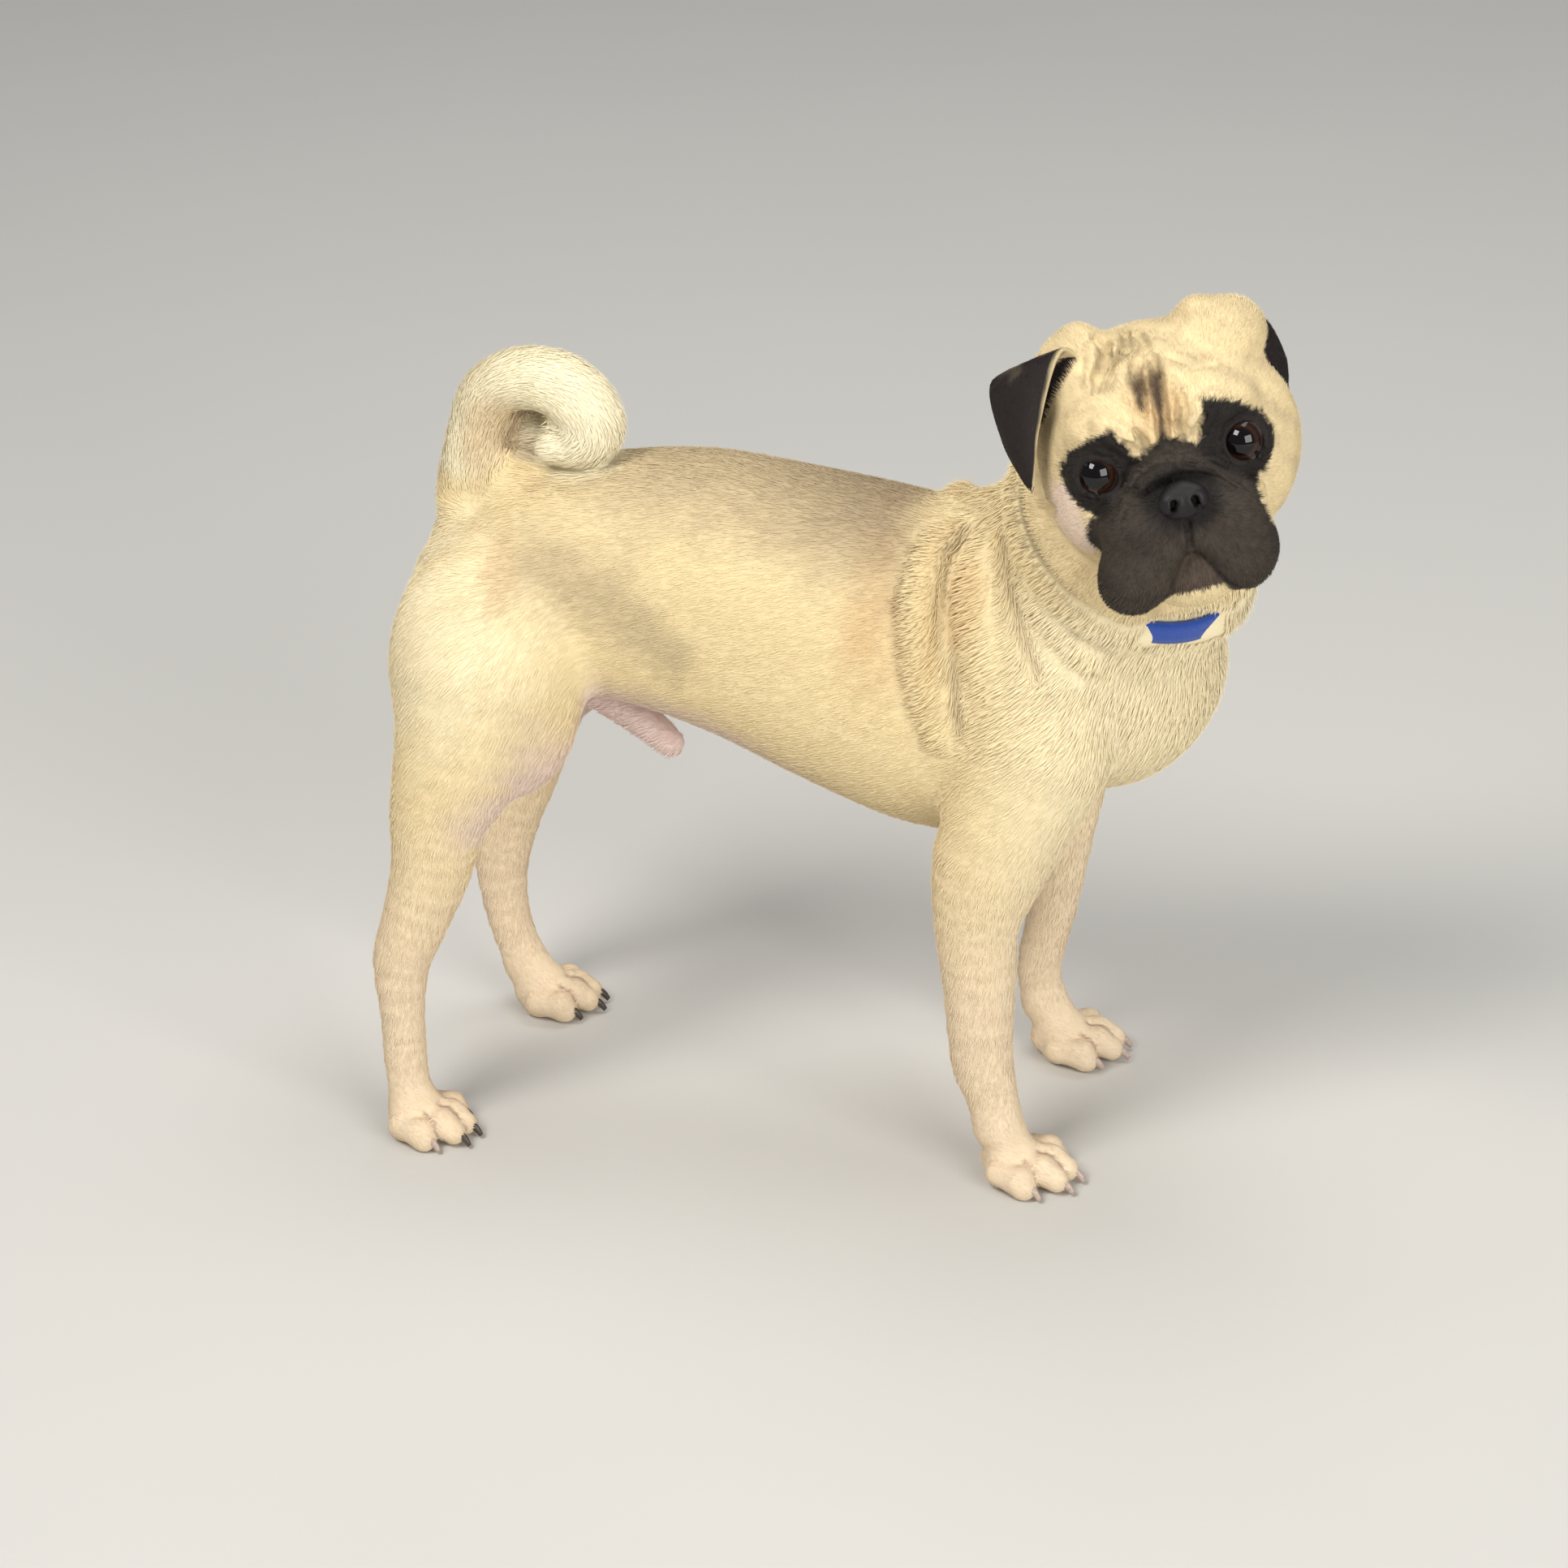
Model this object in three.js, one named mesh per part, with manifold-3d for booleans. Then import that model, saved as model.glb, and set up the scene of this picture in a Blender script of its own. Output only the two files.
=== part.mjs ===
// A slim male pug standing square, head turned to its right, as a still, life-size model.
// Millimetres. X runs forward along the back, Y to the dog's left, Z up from the floor.
// The flesh is one smooth solid, described by rounded forms that melt into each other, and it is parted
// by thin plane cuts into the pieces that a person would name. Eyes, ears and collar are their own solids.

import * as THREE from "three";
import { mergeVertices } from "three/addons/utils/BufferGeometryUtils.js";
import Module from "manifold-3d";

const wasm = await Module();
wasm.setup();

// Driving dimensions
const GAP = 0.3;
const TRUNK = [
  // place along the back, height of the back, height of the belly, half width
  { x: -135, top: 258, bottom: 200, half: 38 },
  { x: -98, top: 286, bottom: 188, half: 45 },
  { x: -60, top: 295.5, bottom: 186, half: 43 },
  { x: -20, top: 298.5, bottom: 175, half: 47 },
  { x: 25, top: 292, bottom: 156, half: 54 },
  { x: 65, top: 285, bottom: 141, half: 57 },
  { x: 100, top: 278, bottom: 138, half: 56 },
  { x: 135, top: 270, bottom: 146, half: 52 },
];
const TRUNK_ROUNDNESS = 2.3;

// The head's own frame: its origin lies midway between the pupils, and its axes run forward out of the
// face, to the dog's left and up through the skull.
const HEAD_AT = [187, -85, 342];
const HEAD_HEADING = -74.4;
const HEAD_LIFT = 8.2;
const HEAD_TILT = 10.7;
const EYE = { ahead: -9, aside: 28.7, up: 0, radius: 10.6 };

const deg = THREE.MathUtils.degToRad;
const headPose = new THREE.Matrix4()
  .makeTranslation(...HEAD_AT)
  .multiply(new THREE.Matrix4().makeRotationZ(deg(HEAD_HEADING)))
  .multiply(new THREE.Matrix4().makeRotationY(-deg(HEAD_LIFT)))
  .multiply(new THREE.Matrix4().makeRotationX(deg(HEAD_TILT)));
const onHead = (ahead, aside, up) => new THREE.Vector3(ahead, aside, up).applyMatrix4(headPose).toArray();

const size = (x, y, z) => Math.sqrt(x * x + y * y + z * z);

// Rounded forms. Each is a function of a point that gives about how far the point lies outside it.

// A ball stretched to three half sizes, which may be turned about the upright axis.
function ball([cx, cy, cz], [rx, ry, rz], turn = 0, nod = 0) {
  const cosTurn = Math.cos(deg(turn));
  const sinTurn = Math.sin(deg(turn));
  const cosNod = Math.cos(deg(nod));
  const sinNod = Math.sin(deg(nod));
  return (x, y, z) => {
    const across = (x - cx) * cosTurn + (y - cy) * sinTurn;
    const v = -(x - cx) * sinTurn + (y - cy) * cosTurn;
    const u = across * cosNod + (z - cz) * sinNod;
    const w = -across * sinNod + (z - cz) * cosNod;
    const near = size(u / rx, v / ry, w / rz);
    const slope = size(u / (rx * rx), v / (ry * ry), w / (rz * rz));
    return slope < 1e-9 ? -Math.min(rx, ry, rz) : (near * (near - 1)) / slope;
  };
}

// A rod between two points whose radius changes along it, made narrower from side to side by flat.
function rod([ax, ay, az], ra, [bx, by, bz], rb, flat = 1) {
  const dx = bx - ax;
  const dy = by - ay;
  const dz = bz - az;
  const length2 = dx * dx + dy * dy + dz * dz;
  return (x, y, z) => {
    const t = Math.min(1, Math.max(0, ((x - ax) * dx + (y - ay) * dy + (z - az) * dz) / length2));
    const side = (y - ay - t * dy) / flat;
    return (size(x - ax - t * dx, side, z - az - t * dz) - ra - t * (rb - ra)) * Math.sqrt(flat);
  };
}

// A chain of rods through joints, each joint given as a point and its radius.
const chain = (joints, flat = 1) =>
  joints.slice(1).map(([b, rb], i) => rod(joints[i][0], joints[i][1], b, rb, flat));

// A smooth curve through the trunk's rows gives its section anywhere along the back.
function trunkAt(x, key) {
  let i = 1;
  while (i < TRUNK.length - 2 && x > TRUNK[i].x) i += 1;
  const rows = [TRUNK[Math.max(i - 2, 0)], TRUNK[i - 1], TRUNK[i], TRUNK[Math.min(i + 1, TRUNK.length - 1)]];
  const t = Math.min(1, Math.max(0, (x - rows[1].x) / (rows[2].x - rows[1].x)));
  const span = rows[2].x - rows[1].x;
  const startSlope = ((rows[2][key] - rows[0][key]) / (rows[2].x - rows[0].x)) * span;
  const endSlope = ((rows[3][key] - rows[1][key]) / (rows[3].x - rows[1].x)) * span;
  const start = rows[1][key];
  const rise = rows[2][key] - start;
  const square = 3 * rise - 2 * startSlope - endSlope;
  const cube = startSlope + endSlope - 2 * rise;
  return start + t * (startSlope + t * (square + t * cube));
}

function trunk(x, y, z) {
  const top = trunkAt(x, "top");
  const bottom = trunkAt(x, "bottom");
  const half = trunkAt(x, "half");
  const tall = (top - bottom) / 2;
  const u = Math.abs(y / half) ** TRUNK_ROUNDNESS;
  const w = Math.abs((z - (top + bottom) / 2) / tall) ** TRUNK_ROUNDNESS;
  const round = ((u + w) ** (1 / TRUNK_ROUNDNESS) - 1) * Math.min(half, tall);
  return Math.max(round, x - TRUNK[TRUNK.length - 1].x, TRUNK[0].x - x);
}

// Two forms melt into each other over about the given width.
function melt(a, b, width) {
  const h = Math.max(width - Math.abs(a - b), 0) / width;
  return Math.min(a, b) - (h * h * width) / 4;
}
const carve = (a, b, width) => -melt(-a, b, width);

// Each group of forms: the width over which they melt, and the forms.
const FLESH = [
  [10, [trunk, ball([-106, 0, 224], [46, 48, 47])]],
  // forechest
  [
    16,
    [
      ball([143, 0, 216], [53, 48, 56]),
      ball([163, 0, 222], [29, 32, 34]),
      ball([171, -10, 262], [32, 34, 34]),
    ],
  ],
  // shoulders and thighs
  ...[-1, 1].map((side) => [
    12,
    [
      ball([122, side * 40, 214], [36, 26, 54], 0, -20),
      ball([-110, side * 36, 205], [42, 26, 56], 0, 8),
    ],
  ]),
  // neck
  [
    14,
    [
      rod([110, 0, 235], 44, [153, -17, 279], 43),
      rod([147, -10, 261], 45, [171, -34, 310], 41),
    ],
  ],
];

// Legs, joint by joint from the trunk down to the paw
const LEGS = {
  fore_right: {
    joints: [
      [[128, -48, 196], 30],
      [[108, -54, 148], 25],
      [[102, -56, 121], 19],
      [[102.5, -56, 94], 16.5],
      [[103, -56, 60], 14],
      [[104, -56, 51], 13],
      [[107.3, -57, 39], 10.9],
      [[110.5, -58, 24], 10.3],
    ],
    paw: { at: [122, -59], turn: -15, long: 48, wide: 40 },
  },
  fore_left: {
    joints: [
      [[128, 48, 196], 30],
      [[119, 52, 148], 24],
      [[118, 54, 118], 17.5],
      [[114, 55, 72], 11.9],
      [[108, 54.5, 40], 9.4],
      [[110.5, 54, 24], 9.3],
    ],
    paw: { at: [124.5, 52.5], turn: 3, long: 47, wide: 40 },
  },
  hind_right: {
    joints: [
      [[-112, -42, 206], 34],
      [[-120, -50, 172], 28],
      [[-128, -55, 150], 21.5],
      [[-132, -57, 126], 18],
      [[-141, -59, 99], 14.8],
      [[-147, -60, 82], 13.2],
      [[-148, -61, 50], 9.6],
      [[-147.3, -62, 27], 9],
      [[-145.5, -62.5, 15], 9],
    ],
    paw: { at: [-138.5, -64], turn: -15, long: 44, wide: 37 },
  },
  hind_left: {
    joints: [
      [[-108, 42, 206], 34],
      [[-112, 48, 172], 28],
      [[-116, 53, 146], 20.5],
      [[-122, 55, 120], 16.5],
      [[-131, 57, 94], 14.5],
      [[-136, 58, 72], 13],
      [[-134, 58, 43], 9.6],
      [[-127, 58, 20], 9.4],
    ],
    paw: { at: [-113.5, 56.5], turn: 6, long: 43, wide: 37 },
  },
};
const LEG_FLAT = 0.86;
const TOES = 4;
// Toe radii at the root, knuckle and end, their heights, how far a middle toe reaches and an outer one is
// set back as shares of the paw's length, and the angle by which an outer one turns out
const TOE = { radius: [5.6, 5.7, 4.9], up: [7, 6.8, 4.4], root: -7, reach: 0.37, setBack: 0.17, splay: 8 };
const HEEL = { along: -0.28, up: 8, radius: 8.8 };
const INSTEP = { along: -0.06, up: 9, radius: 9.5 };
const PAD = { along: -6, aside: 8, up: 7, radius: 8.6 };

// Toes fan out from the paw, the middle two reaching further.
const onPaw = ({ at: [cx, cy], turn }, along, across, up) => [
  cx + along * Math.cos(deg(turn)) - across * Math.sin(deg(turn)),
  cy + along * Math.sin(deg(turn)) + across * Math.cos(deg(turn)),
  up,
];
function toesOf(paw) {
  return Array.from({ length: TOES }, (_, i) => {
    const s = (2 * i) / (TOES - 1) - 1;
    const reach = paw.long * (TOE.reach - TOE.setBack * s * s);
    const spread = s * (paw.wide / 2 - TOE.radius[1]);
    const heading = deg(paw.turn + TOE.splay * s);
    return {
      root: onPaw(paw, TOE.root, spread * 0.9, TOE.up[0]),
      knuckle: onPaw(paw, reach * 0.6, spread, TOE.up[1]),
      end: onPaw(paw, reach, spread * 1.06, TOE.up[2]),
      forward: new THREE.Vector3(Math.cos(heading), Math.sin(heading), 0),
    };
  });
}
function pawForms(paw) {
  const heel = onPaw(paw, HEEL.along * paw.long, 0, HEEL.up);
  const instep = onPaw(paw, INSTEP.along * paw.long, 0, INSTEP.up);
  const pad = [-1, 1].map((side) => onPaw(paw, PAD.along, side * PAD.aside, PAD.up));
  const forms = [rod(heel, HEEL.radius, instep, INSTEP.radius), rod(pad[0], PAD.radius, pad[1], PAD.radius)];
  const [rootRadius, knuckleRadius, endRadius] = TOE.radius;
  for (const { root, knuckle, end } of toesOf(paw)) {
    forms.push(rod(root, rootRadius, knuckle, knuckleRadius), rod(knuckle, knuckleRadius, end, endRadius));
  }
  return forms;
}

// The floor takes a flat from every paw.
for (const leg of Object.values(LEGS)) {
  FLESH.push([7, chain(leg.joints, LEG_FLAT)]);
  FLESH.push([2.5, pawForms(leg.paw)]);
}

// Head forms, in the head's own frame. Those that lie on both sides are written once, for one side.
const bothSides = (forms) => forms.flatMap((make) => [make(1), make(-1)]);
const mirrored = (joints, side) => joints.map(([[x, y, z], radius]) => [[x, side * y, z], radius]);
const ROLL = [
  [[-4, 30, -20], 3.6],
  [[1, 24, -12], 4.2],
  [[5, 15, -3.5], 4.4],
  [[7, 5, 0.6], 4.4],
];
const HEAD = [
  // skull, the corners that carry the ears, cheeks, brows and throat
  [9, [
    ball([-43, 0, 4], [47, 49, 41.5]),
    ...bothSides([
      (side) => ball([-42, side * 30, 32], [18, 15, 15]),
      (side) => ball([-42, side * 24, 37], [14, 10, 14.5]),
      (side) => ball([-30, side * 28, -12], [26, 21.5, 29]),
      (side) => ball([-11, side * 22, 16], [12.5, 15, 10]),
    ]),
    ball([-36, 0, -36], [30, 30, 24]),
  ]],
  // muzzle: bridge, two pads and the flews that hang from them
  [7, [
    ball([-7, 0, -18], [18, 27, 16]),
    ...bothSides([
      (side) => ball([-2, side * 16, -27], [15, 18, 17]),
      (side) => ball([-3, side * 22, -40], [14, 13, 14]),
    ]),
  ]],
  // chin
  [1.5, [ball([-8, 0, -47], [16.5, 20, 15])]],
  // the roll of skin over the nose
  [2.5, chain([...ROLL, ...mirrored(ROLL, -1).reverse()])],
  // nose leather
  [1.5, [ball([11, 0, -12.5], [7.4, 9.6, 7.4])]],
  // lids
  [3, bothSides([(side) => ball([EYE.ahead, side * EYE.aside, 0], [12.8, 13, 12.6])])],
];
const MOUTH = [
  [[15, 0, -33], 1.2],
  [[14, 4, -37], 1.5],
  [[11, 12, -46], 1.6],
  [[4, 21, -54], 1.4],
];
const HEAD_CUTS = [
  // between the lids
  [1.5, bothSides([(side) => ball([5, side * EYE.aside, 0], [9.5, 8, 7.3])])],
  // line of the mouth
  [1.2, [
    rod([17.5, 0, -18], 0.9, MOUTH[0][0], MOUTH[0][1]),
    ...[-1, 1].flatMap((side) => chain(mirrored(MOUTH, side))),
  ]],
  // nostrils
  [0.8, bothSides([
    (side) => rod([19, side * 4.2, -14], 2, [14, side * 5.2, -12], 1.4),
    (side) => rod([17.5, side * 4.8, -14.5], 1.2, [13, side * 9.4, -16], 0.9),
  ])],
];

// Loose skin lies in rolls: one behind each shoulder, and two round the neck above it
const ROLLS = [
  [
    [[98, 20, 278], 4],
    [[87, 26, 273], 5.5],
    [[76, 38, 266], 8],
    [[72, 47, 251], 8],
    [[74, 52, 232], 7],
    [[80, 53, 210], 5],
  ],
  [
    [[112, 29, 281], 4],
    [[102, 38, 274], 6],
    [[99, 46, 261], 7.5],
    [[104, 53, 245], 7],
    [[114, 60, 232], 6],
  ],
  [
    [[128, 42, 291], 4.5],
    [[128, 50, 281], 6],
    [[137, 56, 268], 6],
    [[150, 57, 255], 5],
  ],
];
for (const joints of ROLLS) {
  for (const side of [1, -1]) FLESH.push([6, chain(mirrored(joints, side))]);
}

// Tail, joint by joint from its root, over the back and into its own curl
const TAIL = [
  [[-121, 0, 252], 15],
  [[-124, 0, 270], 12.5],
  [[-120, 0, 292], 12.5],
  [[-112, -1, 313], 14],
  [[-97, -2, 325], 15.5],
  [[-80, -3, 323], 16],
  [[-70, -4, 312], 14.5],
  [[-76, -6, 308.5], 12.5],
  [[-83, -8, 307], 11.5],
  [[-93, -10, 308.5], 8.5],
];
FLESH.push([8, [...chain(TAIL.slice(0, 3)), ball([-104, 0, 280], [20, 16, 15])]]);

// Sheath of the male
FLESH.push([5, chain([[[-71, 0, 186], 9], [[-53, 0, 175], 9], [[-40, 0, 164], 7.5]])]);

const fold = (groups) => {
  const steps = groups.flatMap(([width, forms]) => forms.map((form) => [width, form]));
  return (x, y, z) => {
    let d = 60;
    for (const [width, form] of steps) d = melt(d, form(x, y, z), width);
    return d;
  };
};
const body = fold(FLESH);
const intoHead = headPose.clone().invert().elements;
const headSteps = HEAD.flatMap(([width, forms]) => forms.map((form) => [width, form]));
const headCuts = HEAD_CUTS.flatMap(([width, forms]) => forms.map((form) => [width, form]));
function flesh(x, y, z) {
  const m = intoHead;
  const ahead = m[0] * x + m[4] * y + m[8] * z + m[12];
  const aside = m[1] * x + m[5] * y + m[9] * z + m[13];
  const up = m[2] * x + m[6] * y + m[10] * z + m[14];
  let d = body(x, y, z);
  if (size(ahead + 30, aside, up) > 120) return d;
  for (const [width, form] of headSteps) d = melt(d, form(ahead, aside, up), width);
  for (const [width, form] of headCuts) d = carve(d, form(ahead, aside, up), width);
  return d;
}
const tailArch = fold([[6, chain(TAIL.slice(1, 8))]]);
const tailTip = fold([[6, chain(TAIL.slice(7))]]);

// The grid is filled in blocks, and a block whose middle lies far from the surface takes one value.
const BLOCK = 4;
const FAR = 1.6;

// Surface of a smooth form: a grid is laid over its box, each cell that the surface crosses gets one point,
// and each grid edge that it crosses gets a pair of triangles.
function surface(form, low, high, cell) {
  const n = [0, 1, 2].map((k) => Math.ceil((high[k] - low[k]) / cell) + 3);
  const at = (i, k) => low[k] + (i - 1) * cell;
  const value = new Float32Array(n[0] * n[1] * n[2]).fill(cell);
  const index = (i, j, k) => (k * n[1] + j) * n[0] + i;
  const step = [1, n[0], n[0] * n[1]];
  for (let k = 1; k < n[2] - 1; k += BLOCK)
    for (let j = 1; j < n[1] - 1; j += BLOCK)
      for (let i = 1; i < n[0] - 1; i += BLOCK) {
        const half = (BLOCK - 1) / 2;
        const middle = form(at(i + half, 0), at(j + half, 1), at(k + half, 2));
        const far = Math.abs(middle) > BLOCK * cell * FAR;
        for (let c = k; c < Math.min(k + BLOCK, n[2] - 1); c += 1)
          for (let b = j; b < Math.min(j + BLOCK, n[1] - 1); b += 1)
            for (let a = i; a < Math.min(i + BLOCK, n[0] - 1); a += 1)
              value[index(a, b, c)] = far ? middle : form(at(a, 0), at(b, 1), at(c, 2));
      }
  // Where the surface would touch itself corner to corner, the corner is filled.
  for (let filled = true; filled; ) {
    filled = false;
    for (let c = 0; c < value.length - step[1] - step[2]; c += 1)
      for (let axis = 0; axis < 3; axis += 1) {
        const s = step[axis];
        const t = step[(axis + 1) % 3];
        const inside = value[c] < 0;
        if (inside !== value[c + s + t] < 0 || value[c + s] < 0 !== value[c + t] < 0) continue;
        if (inside === value[c + s] < 0) continue;
        value[inside ? c + s : c] = -0.05 * cell;
        filled = true;
      }
  }
  const points = [];
  const pointOf = new Map();
  const corners = [0, 1, 2, 3, 4, 5, 6, 7].map((c) => [c & 1, (c >> 1) & 1, c >> 2]);
  const offset = corners.map(([a, b, c]) => a * step[0] + b * step[1] + c * step[2]);
  for (let k = 0; k < n[2] - 1; k += 1)
    for (let j = 0; j < n[1] - 1; j += 1)
      for (let i = 0; i < n[0] - 1; i += 1) {
        const base = index(i, j, k);
        let inside = 0;
        for (let c = 0; c < 8; c += 1) inside += value[base + offset[c]] < 0 ? 1 : 0;
        if (inside === 0 || inside === 8) continue;
        const sum = [0, 0, 0];
        let crossings = 0;
        for (let c = 0; c < 8; c += 1)
          for (let axis = 0; axis < 3; axis += 1) {
            if (corners[c][axis]) continue;
            const a = value[base + offset[c]];
            const b = value[base + offset[c] + step[axis]];
            if (a < 0 === b < 0) continue;
            const t = a / (a - b);
            for (let m = 0; m < 3; m += 1) sum[m] += corners[c][m] + (m === axis ? t : 0);
            crossings += 1;
          }
        pointOf.set(base, points.length);
        points.push([0, 1, 2].map((m) => low[m] + ([i, j, k][m] - 1 + sum[m] / crossings) * cell));
      }
  const triangles = [];
  for (let k = 0; k < n[2] - 1; k += 1)
    for (let j = 0; j < n[1] - 1; j += 1)
      for (let i = 0; i < n[0] - 1; i += 1) {
        const base = index(i, j, k);
        for (let axis = 0; axis < 3; axis += 1) {
          const a = value[base] < 0;
          if (a === value[base + step[axis]] < 0) continue;
          const s = step[(axis + 1) % 3];
          const t = step[(axis + 2) % 3];
          const ring = [base - s - t, base - t, base, base - s].map((c) => pointOf.get(c));
          if (!a) ring.reverse();
          triangles.push([ring[0], ring[1], ring[2]], [ring[0], ring[2], ring[3]]);
        }
      }
  return { points, triangles };
}

// Thins a mesh to about the wanted number of triangles. Each vertex carries the sum of the squared distances
// to the planes that met there, and in every pass the edges whose loss costs least are drawn together: a
// share of them, where no triangle turns further than a limit, with a little weight against long edges.
const DRAW = { share: 0.3, turn: 0.3, long: 1e-5, smallest: 1e-3 };
function thin({ points, triangles }, wanted) {
  const n = points.length;
  const quadric = Array.from({ length: n }, () => new Float64Array(10));
  const corner = [new THREE.Vector3(), new THREE.Vector3(), new THREE.Vector3()];
  const normalOf = (a, b, c, out) => {
    corner[0].fromArray(a);
    corner[1].fromArray(b).sub(corner[0]);
    corner[2].fromArray(c).sub(corner[0]);
    return out.crossVectors(corner[1], corner[2]);
  };
  const normal = new THREE.Vector3();
  for (const tri of triangles) {
    normalOf(points[tri[0]], points[tri[1]], points[tri[2]], normal);
    const area = normal.length() || 1e-12;
    normal.divideScalar(area);
    const p = points[tri[0]];
    const d = -(normal.x * p[0] + normal.y * p[1] + normal.z * p[2]);
    const q = [normal.x, normal.y, normal.z, d];
    for (const v of tri) {
      let slot = 0;
      for (let i = 0; i < 4; i += 1)
        for (let j = i; j < 4; j += 1) {
          quadric[v][slot] += q[i] * q[j] * area;
          slot += 1;
        }
    }
  }
  const cost = (q, [x, y, z]) =>
    q[0] * x * x + 2 * q[1] * x * y + 2 * q[2] * x * z + 2 * q[3] * x + q[4] * y * y + 2 * q[5] * y * z +
    2 * q[6] * y + q[7] * z * z + 2 * q[8] * z + q[9];
  const apart = (one, two) => size(one[0] - two[0], one[1] - two[1], one[2] - two[2]);
  const best = (a, b) => {
    const q = quadric[a].map((value, i) => value + quadric[b][i]);
    const middle = points[a].map((value, i) => (value + points[b][i]) / 2);
    const choices = [middle, points[a], points[b]];
    const m = new THREE.Matrix3().set(q[0], q[1], q[2], q[1], q[4], q[5], q[2], q[5], q[7]);
    const long = apart(points[a], points[b]);
    if (Math.abs(m.determinant()) > 1e-3 * Math.max(q[0], q[4], q[7]) ** 3) {
      const spot = new THREE.Vector3(-q[3], -q[6], -q[8]).applyMatrix3(m.invert()).toArray();
      if (apart(spot, middle) < 2 * long) choices.unshift(spot);
    }
    let found = choices[0];
    for (const c of choices) if (cost(q, c) < cost(q, found)) found = c;
    return { a, b, q, spot: found, cost: cost(q, found) + DRAW.long * long ** 4 };
  };
  let live = triangles;
  while (live.length > wanted) {
    const around = new Map();
    for (const tri of live)
      for (const v of tri) {
        if (!around.has(v)) around.set(v, []);
        around.get(v).push(tri);
      }
    const edges = [];
    for (const tri of live)
      for (let i = 0; i < 3; i += 1) {
        const next = tri[(i + 1) % 3];
        if (tri[i] < next) edges.push(best(tri[i], next));
      }
    edges.sort((one, two) => one.cost - two.cost);
    const share = Math.max(20, edges.length * DRAW.share);
    const still = new Set();
    const most = (live.length - wanted) / 2;
    let drawn = 0;
    for (const { a, b, q, spot } of edges.slice(0, share)) {
      if (drawn >= most) break;
      if (still.has(a) || still.has(b)) continue;
      const ringA = new Set(around.get(a).flat());
      const ringB = new Set(around.get(b).flat());
      const shared = [...ringA].filter((v) => ringB.has(v) && v !== a && v !== b);
      if (shared.length !== 2) continue;
      const turns = (v, other) =>
        around.get(v).some((tri) => {
          if (tri.includes(other)) return false;
          const before = normalOf(...tri.map((w) => points[w]), new THREE.Vector3());
          const after = normalOf(...tri.map((w) => (w === v ? spot : points[w])), new THREE.Vector3());
          const turned = before.dot(after) < DRAW.turn * before.length() * after.length();
          return turned || after.length() < DRAW.smallest;
        });
      if (turns(a, b) || turns(b, a)) continue;
      points[a] = spot;
      quadric[a] = q;
      for (const tri of around.get(b)) tri[tri.indexOf(b)] = a;
      for (const v of [...ringA, ...ringB]) still.add(v);
      drawn += 1;
    }
    live = live.filter((tri) => tri[0] !== tri[1] && tri[1] !== tri[2] && tri[2] !== tri[0]);
    if (!drawn) break;
  }
  return { points, triangles: live };
}

// Solids for cutting and joining
const solid = ({ points, triangles }) => {
  const used = new Map();
  const vertices = [];
  const triVerts = new Uint32Array(triangles.length * 3);
  triangles.flat().forEach((v, i) => {
    if (!used.has(v)) {
      used.set(v, used.size);
      vertices.push(...points[v]);
    }
    triVerts[i] = used.get(v);
  });
  const vertProperties = new Float32Array(vertices);
  return new wasm.Manifold(new wasm.Mesh({ numProp: 3, vertProperties, triVerts }));
};
function solidOf(geometry) {
  const bare = geometry.clone();
  for (const name of ["normal", "uv"]) bare.deleteAttribute(name);
  const merged = mergeVertices(bare, 1e-4);
  return new wasm.Manifold(
    new wasm.Mesh({
      numProp: 3,
      vertProperties: merged.attributes.position.array,
      triVerts: new Uint32Array(merged.index.array),
    }),
  );
}
// All that lies beyond a plane, as far as the model reaches
const REACH = 1600;
function beyond(point, normal, shift = GAP / 2) {
  const n = new THREE.Vector3(...normal).normalize();
  const box = new THREE.BoxGeometry(REACH, REACH, REACH).translate(0, 0, REACH / 2 + shift);
  box.applyQuaternion(new THREE.Quaternion().setFromUnitVectors(new THREE.Vector3(0, 0, 1), n));
  return solidOf(box.translate(...point));
}
const TIP_FIT = 0.97;
const shrunk = (geometry, by) => {
  geometry.computeBoundingBox();
  const middle = geometry.boundingBox.getCenter(new THREE.Vector3());
  return geometry.translate(...middle.clone().negate()).scale(by, by, by).translate(...middle);
};
const largest = (body) => body.decompose().sort((a, b) => b.volume() - a.volume())[0];

function geometryOf(body) {
  const { vertProperties, triVerts } = body.getMesh();
  const geometry = new THREE.BufferGeometry();
  geometry.setAttribute("position", new THREE.BufferAttribute(vertProperties, 3));
  geometry.setIndex(new THREE.BufferAttribute(triVerts, 1));
  geometry.computeVertexNormals();
  return geometry;
}

// Planes that part the flesh. Each points towards the piece that it begins.
const PLANES = {
  nape: { at: onHead(-66, 0, -28), towards: [0.55, -0.6, 0.6] },
  shoulder: { at: [138, 0, 255], towards: [0.5, 0, 0.87] },
  ribs: { at: [30, 0, 200], towards: [1, 0, 0] },
  loin: { at: [-64, 0, 200], towards: [1, 0, 0] },
  arch: { at: [-117, 0, 300], towards: [0.35, 0, 1] },
  fore_right: { at: [105, -34, 144], towards: [0, -0.77, -0.64] },
  fore_left: { at: [105, 34, 144], towards: [0, 0.77, -0.64] },
  hind_right: { at: [-100, -14, 178], towards: [-0.5, -0.6, -0.6] },
  hind_left: { at: [-100, 14, 178], towards: [-0.5, 0.6, -0.6] },
  middle: { at: [0, 0, 200], towards: [0, 1, 0] },
  floor: { at: [0, 0, -GAP / 2], towards: [0, 0, 1] },
};
const WRIST_HEIGHT = 27;
const HOCK_HEIGHT = 108;
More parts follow.
